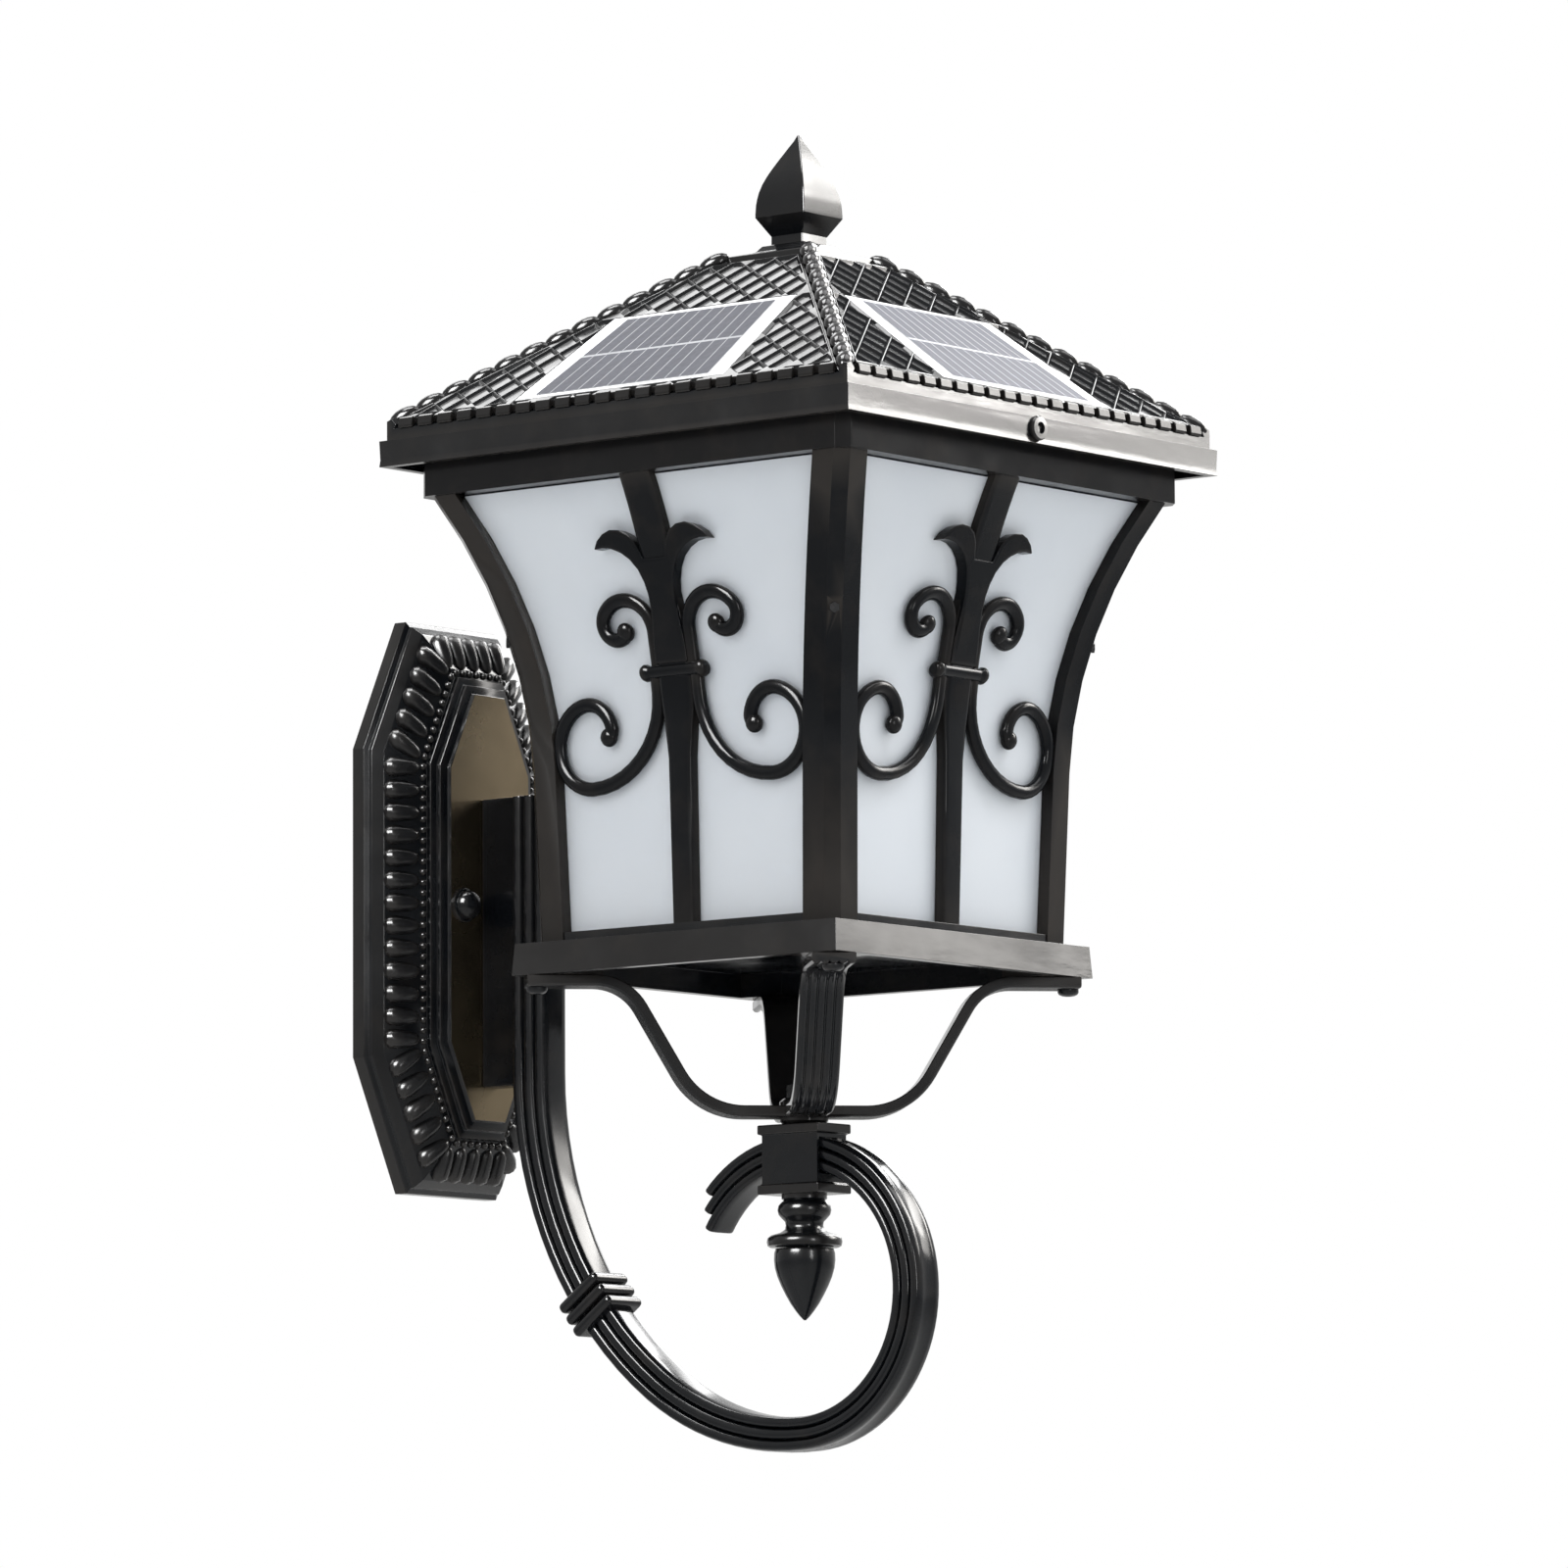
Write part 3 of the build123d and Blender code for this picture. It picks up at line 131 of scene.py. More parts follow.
# The wall plate is an eight sided cast plate, hollow behind, with a band of gadroons round it, a
# row of beads, two small steps and a plain panel. It is cast aluminium in glossy black paint. The
# panel is near black, and its gloss is tinted brown as a painted warm reflection.
def belly(finish, place, slope):
    """Turns upright faces a little towards the sky and gives them faint waves, as a thin wall has."""
    tree = finish.node_tree
    wave_size = 26 * mm
    wave_height = 0.12 * mm
    wave_stretch = 3.5
    height = tree.nodes.new("ShaderNodeSeparateXYZ")
    tree.links.new(place, height.inputs["Vector"])
    swell = raised(finish, height.outputs["Z"], slope)
    swell.invert = True
    grain = shader_of(finish).inputs["Normal"].links[0].from_node
    tree.links.new(swell.outputs["Normal"], grain.inputs["Normal"])
    stretch = tree.nodes.new("ShaderNodeMapping")
    stretch.inputs["Scale"].default_value = (1, 1, wave_stretch)
    tree.links.new(place, stretch.inputs["Vector"])
    waves = raised(finish, patches(finish, stretch.outputs["Vector"], wave_size, 4), wave_height)
    tree.links.new(waves.outputs["Normal"], swell.inputs["Normal"])


def black_paint(name, dull, grain, wear, swell=0, gloss=1.27):
    """Glossy black stoving paint with faint brown rubs, worn thinner on the edges."""
    finish, place = new_finish(name)
    shader = shader_of(finish)
    tree = finish.node_tree
    rubs = patches(finish, place, 14 * mm, 7)
    paint = colour_by(finish, rubs, 0.5, 0.8, (0.0044, 0.0052, 0.0066), (0.012, 0.0108, 0.0104))
    shape = tree.nodes.new("ShaderNodeNewGeometry")
    edges = number_by(finish, shape.outputs["Pointiness"], 0.53, 0.62, 0, wear)
    worn = tree.nodes.new("ShaderNodeMix")
    worn.data_type = "RGBA"
    full_paint = worn.inputs[6]
    thin_paint = worn.inputs[7]
    seen_paint = worn.outputs[2]
    thin_paint.default_value = (0.06, 0.052, 0.045, 1)
    tree.links.new(edges, worn.inputs["Factor"])
    tree.links.new(paint, full_paint)
    tree.links.new(seen_paint, shader.inputs["Base Color"])
    smears = patches(finish, place, 22 * mm, 5)
    smeared = number_by(finish, smears, 0.3, 0.7, dull - 0.05, dull + 0.09)
    tree.links.new(smeared, shader.inputs["Roughness"])
    shader.inputs["IOR"].default_value = gloss
    roughen(finish, 1.8 * mm, 3, grain)
    if swell:
        belly(finish, place, swell)
    return finish


def use_piece(piece):
    """Makes the piece the only one that the next steps act on."""
    bpy.ops.object.select_all(action="DESELECT")
    piece.select_set(True)
    bpy.context.view_layer.objects.active = piece


def open_piece(piece):
    """Starts to shape a piece, with all of it selected."""
    use_piece(piece)
    bpy.ops.object.mode_set(mode="EDIT")
    bpy.ops.mesh.select_all(action="SELECT")


def draw_out(across, deep, up):
    """Extrudes what is selected by the given way."""
    bpy.ops.mesh.extrude_region_move(TRANSFORM_OT_translate={"value": (across, deep, up)})


def select_faces(piece, chosen):
    """Selects only the faces that the test picks, in edit mode."""
    bpy.ops.mesh.select_mode(type="FACE")
    bpy.ops.mesh.select_all(action="DESELECT")
    form = bmesh.from_edit_mesh(piece.data)
    for face in form.faces:
        face.select_set(chosen(face))
    bmesh.update_edit_mesh(piece.data)


def outline_piece(name, corners):
    """A flat face with the given corners, which run anticlockwise round its outer side."""
    bpy.ops.object.select_all(action="DESELECT")
    bpy.ops.mesh.primitive_circle_add(vertices=len(corners), radius=mm, fill_type="NGON")
    piece = bpy.context.object
    piece.name = name
    for corner, place in zip(piece.data.vertices, corners):
        corner.co = place
    return piece


def weld(piece):
    """Merges the doubled corners of a piece, and leaves it open with all of it selected."""
    open_piece(piece)
    bpy.ops.mesh.remove_doubles(threshold=0.002 * mm)


def close_piece(piece):
    """Merges doubled corners and turns all faces outwards."""
    weld(piece)
    bpy.ops.mesh.normals_make_consistent(inside=False)
    bpy.ops.object.mode_set(mode="OBJECT")


def ease_edges(piece, width, segments, angle):
    """Rounds all edges sharper than the angle."""
    use_piece(piece)
    bevel = piece.modifiers.new("eased_edges", "BEVEL")
    bevel.width = width
    bevel.segments = segments
    bevel.limit_method = "ANGLE"
    bevel.angle_limit = math.radians(angle)
    bevel.use_clamp_overlap = True
    bpy.ops.object.modifier_apply(modifier=bevel.name)


def join_pieces(pieces):
    """Makes one piece of several."""
    bpy.ops.object.select_all(action="DESELECT")
    for piece in pieces:
        piece.select_set(True)
    bpy.context.view_layer.objects.active = pieces[0]
    bpy.ops.object.join()
    return pieces[0]


def repeat(piece, places):
    """Copies the piece to each place, and joins the copies in one piece of the same name."""
    name = piece.name
    copies = []
    for place in places:
        shape = piece.data.copy()
        shape.transform(place)
        copy = bpy.data.objects.new(name, shape)
        bpy.context.collection.objects.link(copy)
        copies.append(copy)
    bpy.data.objects.remove(piece)
    joined = join_pieces(copies)
    joined.name = name
    return joined


def fit(piece, body, slot, finish, angle, *nodes):
    """Smooths and paints a finished piece, and fixes it to its body in place of the solids named."""
    use_piece(piece)
    bpy.ops.object.shade_smooth_by_angle(angle=math.radians(angle))
    flat_faces = piece.modifiers.new("flat_faces", "WEIGHTED_NORMAL")
    flat_faces.keep_sharp = True
    bpy.ops.object.modifier_apply(modifier=flat_faces.name)
    piece.data.materials.clear()
    piece.data.materials.append(finish)
    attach(piece, body)
    if nodes:
        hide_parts(*nodes)


def paint_faces(piece, finish, chosen):
    """Gives the faces that the test picks a finish of their own."""
    piece.data.materials.append(finish)
    for face in piece.data.polygons:
        if chosen(face):
            face.material_index = len(piece.data.materials) - 1


enamel = black_paint("black_enamel", 0.15, 0.005 * mm, 0.4)
plate_half_width = 50 * mm
plate_half_height = 108 * mm
plate_side = 58 * mm
plate_end = 26 * mm


def plate_corners(inset, depth):
    """The plate's eight corners on a line a given way in from its edge."""
    run = plate_half_width - plate_end
    rise = plate_half_height - plate_side
    reach = rise * plate_half_width + run * plate_side - inset * math.hypot(run, rise)
    x = plate_half_width - inset
    z = plate_half_height - inset
    z_side = (reach - rise * x) / run
    x_end = (reach - run * z) / rise
    quarter = [(x, -z_side), (x, z_side), (x_end, z), (-x_end, z)]
    corners = quarter + [(-across, -up) for across, up in quarter]
    return [Vector((across, -depth, up)) for across, up in corners]


wall_plate = outline_piece("wall_plate_casting", plate_corners(0, 0))
plate_edge = 5.5 * mm
plate_steps = [(1.9, 1), (0.1, 1.4), (3, 3.4), (12.5, 6.6), (3.4, 0.9), (0.1, 1.7)]
plate_steps += [(2.9, 0.7), (0.1, 1.5), (3.3, 0.8), (0.2, 1.5)]
open_piece(wall_plate)
draw_out(0, -plate_edge, 0)
for inwards, outwards in plate_steps:
    bpy.ops.mesh.inset(thickness=inwards * mm, depth=outwards * mm, use_even_offset=True)
select_faces(wall_plate, lambda face: all(abs(corner.co.y) < 0.01 * mm for corner in face.verts))
bpy.ops.mesh.delete(type="FACE")
bpy.ops.object.mode_set(mode="OBJECT")
plate_wall = wall_plate.modifiers.new("casting_wall", "SOLIDIFY")
plate_wall.thickness = 3 * mm
plate_wall.offset = -1
bpy.ops.object.modifier_apply(modifier=plate_wall.name)
ease_edges(wall_plate, 0.2 * mm, 1, 20)
lobe_half_length = 7.2 * mm
lobe_half_width = 4.25 * mm
lobe_height = 3.4 * mm
lobe_pitch = 8.4 * mm
lobe_foot = (5 * mm, 11.3 * mm)
lobe_head = (17.5 * mm, 17.9 * mm)
lobe_share = 0.83
lobe_wedge = 0.19
lobe_fall = 0.34
bpy.ops.object.select_all(action="DESELECT")
bpy.ops.mesh.primitive_uv_sphere_add(segments=12, ring_count=8, radius=1, rotation=(math.pi / 2, 0, 0))
bpy.ops.object.transform_apply(location=True, rotation=True, scale=True)
gadroon = bpy.context.object
gadroon.name = "wall_plate_gadroons"
open_piece(gadroon)
bpy.ops.transform.resize(value=(lobe_half_width, lobe_half_length, lobe_height))
bpy.ops.mesh.bisect(plane_co=(0, 0, -0.3 * mm), plane_no=(0, 0, -1), clear_outer=True)
bpy.ops.object.mode_set(mode="OBJECT")
for corner in gadroon.data.vertices:
    along = corner.co.y / lobe_half_length
    if abs(along) < 0.999:
        fuller = math.sqrt((1 - along ** 4) / (1 - along ** 2))
        corner.co.x *= fuller * (lobe_share - lobe_wedge * along)
        corner.co.z *= fuller * (1 - lobe_fall * along)


def along_sides(foot, head, pitch):
    """Places at even steps along the eight sides of a band: X along the side, Y up the band's slope."""
    low = plate_corners(*foot)
    high = plate_corners(*head)
    middle = plate_corners((foot[0] + head[0]) / 2, (foot[1] + head[1]) / 2)
    places = []
    for corner in range(8):
        after = (corner + 1) % 8
        length = (middle[after] - middle[corner]).length
        count = round(length / pitch)
        side = (middle[after] - middle[corner]).normalized()
        slope = (high[corner] + high[after] - low[corner] - low[after]).normalized()
        facing = side.cross(slope)
        turn = Matrix((side, slope, facing)).transposed().to_4x4()
        for step in range(count):
            centre = middle[corner].lerp(middle[after], (step + 0.5) / count)
            places.append(Matrix.Translation(centre) @ turn)
    return places


gadroon = repeat(gadroon, along_sides(lobe_foot, lobe_head, lobe_pitch))
bead_radius = 1.45 * mm
bead_pitch = 4 * mm
bead_foot = (18 * mm, 18.2 * mm)
bead_head = (20 * mm, 18.8 * mm)
bpy.ops.object.select_all(action="DESELECT")
bpy.ops.mesh.primitive_uv_sphere_add(segments=8, ring_count=6, radius=bead_radius)
bead = bpy.context.object
bead.name = "wall_plate_beads"
open_piece(bead)
bpy.ops.mesh.bisect(plane_co=(0, 0, -0.4 * mm), plane_no=(0, 0, -1), clear_outer=True)
bpy.ops.object.mode_set(mode="OBJECT")
bead = repeat(bead, along_sides(bead_foot, bead_head, bead_pitch))
plain_faces = len(wall_plate.data.polygons)
wall_plate = join_pieces([wall_plate, gadroon, bead])
fit(wall_plate, "base", "black_paint", enamel, 35, "wall_plate")
gadroon_paint = black_paint("gadroon_paint", 0.22, 0.005 * mm, 0.4, gloss=1.3)
paint_faces(wall_plate, gadroon_paint, lambda face: face.index >= plain_faces)
# The panel's dark brownish colour and brown-tinted gloss stand in for a warm reflection: painted
# reflection.
panel_sheen_colours = [(0.008, 0.007, 0.005), (0.018, 0.015, 0.01)]
panel_sheen = mottled("panel_brown_sheen", 34 * mm, 5, (0.35, 0.7), panel_sheen_colours, (0.2, 0.34))
shader_of(panel_sheen).inputs["IOR"].default_value = 1.8
shader_of(panel_sheen).inputs["Specular Tint"].default_value = (1, 0.74, 0.38, 1)
plate_face = -25 * mm


def on_panel(face):
    """Whether a face of the plate lies on its plain panel."""
    return abs(face.center.y - plate_face) < 0.05 * mm and face.normal.y < -0.9


paint_faces(wall_plate, panel_sheen, on_panel)


# Two cap nuts with domed ends hold the plate to the studs. They are turned brass, and painted
# black with the plate.
def turned(name, levels, sides):
    """A piece turned about Z, drawn up level by level from a disc: radius and height of each in mm."""
    bpy.ops.object.select_all(action="DESELECT")
    radius, height = levels[0]
    bpy.ops.mesh.primitive_circle_add(vertices=sides, radius=radius * mm, fill_type="NGON")
    piece = bpy.context.object
    piece.name = name
    open_piece(piece)
    bpy.ops.transform.translate(value=(0, 0, height * mm))
    for next_radius, next_height in levels[1:]:
        draw_out(0, 0, (next_height - height) * mm)
        share = next_radius / radius
        bpy.ops.transform.resize(value=(share, share, 1), center_override=(0, 0, next_height * mm))
        radius = next_radius
        height = next_height
    bpy.ops.object.mode_set(mode="OBJECT")
    close_piece(piece)
    return piece


def dome_levels(radius, low, high, count):
    """Levels of a dome that closes at its top."""
    steps = [math.radians(88 * step / count) for step in range(count + 1)]
    return [(radius * math.cos(turn), low + (high - low) * math.sin(turn)) for turn in steps]


nut_spread = 16 * mm
nut_levels = [(6.5, 0), (6.5, 1.6), (6.1, 2), (5.6, 2.1)]
nut_levels += dome_levels(5.6, 2.6, 7.6, 6)
cap_nuts = turned("cap_nut_domes", nut_levels, 24)
towards_front = Matrix.Rotation(math.pi / 2, 4, "X")
nut_places = [Matrix.Translation((side * nut_spread, plate_face, 0)) @ towards_front for side in (-1, 1)]
cap_nuts = repeat(cap_nuts, nut_places)
fit(cap_nuts, "base", "black_paint", enamel, 35, "cap_nuts")


# The arm is one scroll of three reeded bands side by side, which runs down from the plate and
# curls up round the lantern's foot, with a web at the plate. It is one aluminium casting.
shank_y = -49.01 * mm
shank_top = 41 * mm
shank_reach = -80 * mm
shank_centre = Vector((0, -196.01, -63.16)) * mm
sweep_centre = Vector((0, -172.61, -95.6)) * mm
curl_centre = Vector((0, -176, -151)) * mm
shank_radius = 147 * mm
sweep_radius = 107 * mm
curl_radius = 51.5 * mm
line_reach = 12 * mm
sweep_join = 54.2
curl_join = 93.5
sweep_share = 0.878
curl_share = 0.756
arm_half_width = 7 * mm
arm_half_depth = 8.2 * mm
arm_tails = (31, 37, 43)
band_sides = 28
band_overlap = 0.15 * mm
groove_half = 2.4 * mm
groove_share = 0.62


def band_section(low, high, grooved):
    """Corners of one band's rounded section, across the arm and from its inner to its outer side."""
    middle = (low + high) / 2
    half = (high - low) / 2 + band_overlap
    corners = []
    for step in range(band_sides):
        turn = 2 * math.pi * step / band_sides
        across = math.copysign(abs(math.cos(turn)) ** 0.5, math.cos(turn)) * arm_half_width
        deep = math.copysign(abs(math.sin(turn)) ** 0.6, math.sin(turn)) * half
        if grooved and deep > 0:
            deep *= groove_share + (1 - groove_share) * min(1, abs(across) / groove_half)
        corners.append(Vector((across, shank_y + middle + deep, shank_top)))
    return corners


def arm_taper(place):
    """The arm's half depth at a place on it, as a share of that at its top, and the line's place there."""
    if place.z >= shank_centre.z and place.y > shank_reach:
        return 1, Vector((0, shank_y, place.z))
    from_shank = place - shank_centre
    from_sweep = place - sweep_centre
    turn = -math.degrees(math.atan2(from_shank.z, from_shank.y))
    if abs(math.hypot(from_shank.y, from_shank.z) - shank_radius) < line_reach and turn <= sweep_join:
        out = Vector((0, from_shank.y, from_shank.z)).normalized()
        return 1 - (1 - sweep_share) * turn / sweep_join, shank_centre + out * shank_radius
    turn = -math.degrees(math.atan2(from_sweep.z, from_sweep.y))
    if abs(math.hypot(from_sweep.y, from_sweep.z) - sweep_radius) < line_reach and turn <= curl_join:
        out = Vector((0, from_sweep.y, from_sweep.z)).normalized()
        share = (turn - sweep_join) / (curl_join - sweep_join)
        return sweep_share - (sweep_share - curl_share) * share, sweep_centre + out * sweep_radius
    from_curl = place - curl_centre
    out = Vector((0, from_curl.y, from_curl.z)).normalized()
    return curl_share, curl_centre + out * curl_radius


def swept_band(name, corners, tail):
    """Draws a section down the shank and round the three bends to its tail."""
    piece = outline_piece(name, corners)
    open_piece(piece)
    draw_out(0, 0, shank_centre.z - shank_top)
    turns = [(shank_centre, sweep_join, 16), (sweep_centre, curl_join - sweep_join, 12)]
    turns.append((curl_centre, 360 - curl_join - tail, 56))
    for centre, turn, steps in turns:
        bpy.ops.mesh.spin(steps=steps, angle=math.radians(turn), center=centre, axis=(1, 0, 0))
    bpy.ops.object.mode_set(mode="OBJECT")
    for corner in piece.data.vertices:
        share, line = arm_taper(corner.co)
        corner.co.y = line.y + (corner.co.y - line.y) * share
        corner.co.z = line.z + (corner.co.z - line.z) * share
    close_piece(piece)
    return piece


band_depth = 2 * arm_half_depth / 3
arm_bands = []
for band in range(3):
    low = band * band_depth - arm_half_depth
    section = band_section(low, low + band_depth, band == 2)
    arm_bands.append(swept_band("arm_band", section, arm_tails[band]))
web_centre = Vector((0, -34.5, -13.5)) * mm
web_size = Vector((10, 19, 109)) * mm
bpy.ops.object.select_all(action="DESELECT")
bpy.ops.mesh.primitive_cube_add(size=1, location=web_centre)
arm_web = bpy.context.object
bpy.ops.transform.resize(value=web_size)
bpy.ops.object.transform_apply(location=True, rotation=True, scale=True)
bpy.ops.object.mode_set(mode="EDIT")
select_faces(arm_web, lambda face: abs(face.normal.x) > 0.9)
bpy.ops.mesh.inset(thickness=3.5 * mm, depth=-1 * mm, use_even_offset=True)
bpy.ops.object.mode_set(mode="OBJECT")
arm_scroll = join_pieces(arm_bands + [arm_web])
arm_scroll.name = "arm_scroll"
ease_edges(arm_scroll, 0.9 * mm, 2, 50)
fit(arm_scroll, "base", "black_paint", enamel, 40, "arm")


# The collar is three square rings with rounded edges, side by side round the arm where it starts
# to curl up. They are cast on the arm, of the same aluminium, and painted with it.
collar_turn = math.radians(-37)
ring_size = Vector((20, 21.6, 4.4)) * mm
ring_round = 1.9 * mm
ring_pitch = 5.5 * mm
bpy.ops.object.select_all(action="DESELECT")
bpy.ops.mesh.primitive_cube_add(size=1)
collar = bpy.context.object
collar.name = "arm_collar_rings"
open_piece(collar)
bpy.ops.transform.resize(value=ring_size)
bpy.ops.mesh.bevel(offset=ring_round, segments=4, affect="EDGES")
bpy.ops.object.mode_set(mode="OBJECT")
collar_out = Vector((0, math.cos(collar_turn), math.sin(collar_turn)))
collar_along = Vector((0, math.sin(collar_turn), -math.cos(collar_turn)))
collar_turned = Matrix((Vector((1, 0, 0)), collar_out, collar_along)).transposed().to_4x4()
collar_middle = shank_centre + collar_out * shank_radius
ring_places = [Matrix.Translation(collar_middle + collar_along * ring_pitch * step) for step in (-1, 0, 1)]
collar = repeat(collar, [place @ collar_turned for place in ring_places])
close_piece(collar)
fit(collar, "base", "black_paint", enamel, 40, "arm_collar")


# The square block grips the curl under the lantern, with a lip at its top and foot. The drop
# finial hangs from it on the centre rod. Both are cast aluminium, the finial turned after casting.
def eased_copy(name, node, width, angle):
    """A welded copy of a solid with its edges rounded as a casting's are."""
    bpy.ops.object.select_all(action="DESELECT")
    piece = bpy.data.objects.new(name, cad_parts[node].data.copy())
    bpy.context.collection.objects.link(piece)
    weld(piece)
    bpy.ops.mesh.dissolve_limited(angle_limit=math.radians(0.5))
    bpy.ops.object.mode_set(mode="OBJECT")
    ease_edges(piece, width, 2, angle)
    return piece


arm_block = eased_copy("arm_block_casting", "arm_block", 0.7 * mm, 30)
fit(arm_block, "base", "black_paint", enamel, 40, "arm_block")
lantern_axis = Vector((0, -176, 0)) * mm
drop_levels = [(0.4, -161), (1.8, -159.6), (3.4, -157.6), (5.2, -155), (7, -151.8), (8.7, -148.4)]
drop_levels += [(10.1, -145), (11, -141.8), (11.3, -139), (11.2, -136.4), (10.7, -134.9), (7, -134.8)]
drop_levels += [(7, -134.5), (12.6, -134.4), (13.6, -133.8), (13.9, -132.4), (13.6, -131), (12.4, -130)]
drop_levels += [(9, -129), (7.2, -127.8), (6.9, -126.4), (7.1, -125), (8.3, -123.8), (9.5, -122.4)]
drop_levels += [(9.9, -120.8), (9.6, -119.2), (8.6, -118), (7.6, -117.2), (8.4, -116.6), (8.4, -115)]
drop_finial = turned("drop_finial_turned", drop_levels, 32)
drop_finial.data.transform(Matrix.Translation(lantern_axis))
fit(drop_finial, "base", "black_paint", enamel, 45, "drop_finial")


# Four S-shaped legs spread from one hub to the tray's corners, each with five reeds on its
# outer side. They are cast in one piece and held to the tray by four pan head screws.
leg_half_width = 8 * mm
leg_back = 3.4 * mm
reed_count = 5
reed_steps = 30
reed_foot = 0.2 * mm
reed_depth = 1 * mm
leg_corners = [(leg_half_width, leg_back), (-leg_half_width, leg_back)]
for step in range(reed_steps + 1):
    across = -1 + 2 * step / reed_steps
    swell = abs(math.sin(reed_count * math.pi * (across + 1) / 2))
    leg_corners.append((across * leg_half_width, reed_foot - reed_depth * swell ** 0.6))
leg_top = -38.6 * mm
leg_tip = 102 * mm
leg_foot = 18 * mm
bend_turn = math.radians(60)
upper_bend = (77 * mm, 0, -56.9 * mm)
lower_bend = (22.33 * mm, 0, -57.6 * mm)
slope_length = 27.94 * mm
leg_section = [Vector((leg_tip, across, leg_top + deep)) for across, deep in leg_corners]
leg = outline_piece("leg_castings", leg_section)
open_piece(leg)
draw_out(upper_bend[0] - leg_tip, 0, 0)
bpy.ops.mesh.spin(steps=10, angle=bend_turn, center=upper_bend, axis=(0, 1, 0))
draw_out(-slope_length * math.cos(bend_turn), 0, -slope_length * math.sin(bend_turn))
bpy.ops.mesh.spin(steps=12, angle=bend_turn, center=lower_bend, axis=(0, -1, 0))
draw_out(-leg_foot, 0, 0)
bpy.ops.object.mode_set(mode="OBJECT")
close_piece(leg)
diagonals = [math.radians(45 + 90 * corner) for corner in range(4)]
on_axis = Matrix.Translation(lantern_axis)
corner_places = [on_axis @ Matrix.Rotation(turn, 4, "Z") for turn in diagonals]
legs = repeat(leg, corner_places)
hub_levels = [(7.6, -89.5), (9, -88.2), (9, -81.2), (7.6, -79.9)]
leg_hub = turned("leg_hub", hub_levels, 24)
leg_hub.data.transform(on_axis)
legs = join_pieces([legs, leg_hub])
legs.name = "leg_castings"
ease_edges(legs, 0.35 * mm, 1, 60)
fit(legs, "base", "black_paint", enamel, 32, "leg_bracket")
screw_black = black_paint("black_screw_finish", 0.24, 0.004 * mm, 0)
screw_spot = Matrix.Translation((98 * mm, 0, -39.4 * mm))
pan_levels = [(2, -9), (2, -0.1), (3.9, 0), (3.9, 1.1), (3.4, 1.9), (2.3, 2.4), (1.5, 2.45)]
pan_levels += [(1.45, 1.3), (0.1, 1.3)]
pan_head = turned("leg_screw_heads", pan_levels, 18)
pan_head.data.transform(screw_spot @ Matrix.Rotation(math.pi, 4, "X"))
pan_heads = repeat(pan_head, corner_places)
fit(pan_heads, "base", "black_screw", screw_black, 40, "leg_screws")
coat_nodes(screw_black, "post_foot_screws", "rail_screws", "ceiling_screws", "post_screws")
coat_nodes(screw_black, "centre_rod", "rod_nut")


# The tray is the lantern's floor: a square pan with a turned down skirt and a sill for the panes.
# Four flared corner posts stand on it under the square top rail. All are cast and painted.
tray = eased_copy("tray_casting", "tray", 0.7 * mm, 40)
fit(tray, "base", "black_paint", enamel, 40, "tray")
tray_paint = black_paint("tray_paint", 0.15, 0.005 * mm, 0.4, 0.12)
paint_faces(tray, tray_paint, lambda face: abs(face.normal.z) < 0.3)
frame_paint = black_paint("frame_paint", 0.17, 0.005 * mm, 0.4, gloss=1.19)
posts = ("post_front_left", "post_front_right", "post_rear_left", "post_rear_right")
for post in posts:
    fit(eased_copy(post + "_casting", post, 0.6 * mm, 35), "base", "black_paint", frame_paint, 32, post)
top_rail = eased_copy("top_rail_casting", "top_rail", 0.6 * mm, 40)
fit(top_rail, "base", "black_paint", frame_paint, 40, "top_rail")


# Four panes of flared frosted glass slide in behind the grilles. They are slumped over a form and
# sand blasted inside, so they look milky. Corner clips of spring steel hold them.
frosted, frosted_place = new_finish("frosted_glass_finish")
frosted_shader = shader_of(frosted)
milk = patches(frosted, frosted_place, 60 * mm, 3)
milk_colour = colour_by(frosted, milk, 0.3, 0.7, (0.635, 0.68, 0.735), (0.68, 0.72, 0.765))
frosted.node_tree.links.new(milk_colour, frosted_shader.inputs["Base Color"])
blast_size = 0.7 * mm
blast = patches(frosted, frosted_place, blast_size, 2)
frosted_dull = number_by(frosted, blast, 0.3, 0.7, 0.42, 0.6)
frosted.node_tree.links.new(frosted_dull, frosted_shader.inputs["Roughness"])
frosted_shader.inputs["Transmission Weight"].default_value = 0.15
frosted_shader.inputs["IOR"].default_value = 1.45
roughen(frosted, blast_size, 2, 0.012 * mm)
for side in ("front", "rear", "left", "right"):
    pane = "pane_" + side
    fit(eased_copy(pane + "_glass", pane, 0.3 * mm, 50), "base", "frosted_glass", frosted, 32, pane)
coat_nodes(zinc, "glass_clips")


# Each side has a scroll grille: a mullion with a leaf near its top, a band, and two pairs of
# scrolls that end in buds. It is cast flat, bent to the side's flare and screwed between the posts.
flare_centre_out = 311.88 * mm
flare_radius = 240 * mm
flare_height = 32.44 * mm
flare_start = 40 * mm
post_foot = -23.5 * mm
foot_half = 70 * mm
foot_lean = 2 / 63.5
bar_depth = 2.75 * mm
bar_half = 2.7 * mm
bar_half_depth = 2.3 * mm
bar_sides = 14
bud_radius = 3.5 * mm


def flare(height):
    """The side's distance from the lantern's axis at a height."""
    if height < flare_start:
        return foot_half + (height - post_foot) * foot_lean
    return flare_centre_out - math.sqrt(flare_radius ** 2 - (height - flare_height) ** 2)


def onto_flare(piece):
    """Bends a flat grille piece, with its depth along Y, onto the front side."""
    for corner in piece.data.vertices:
        corner.co.y += lantern_axis.y - flare(corner.co.z)


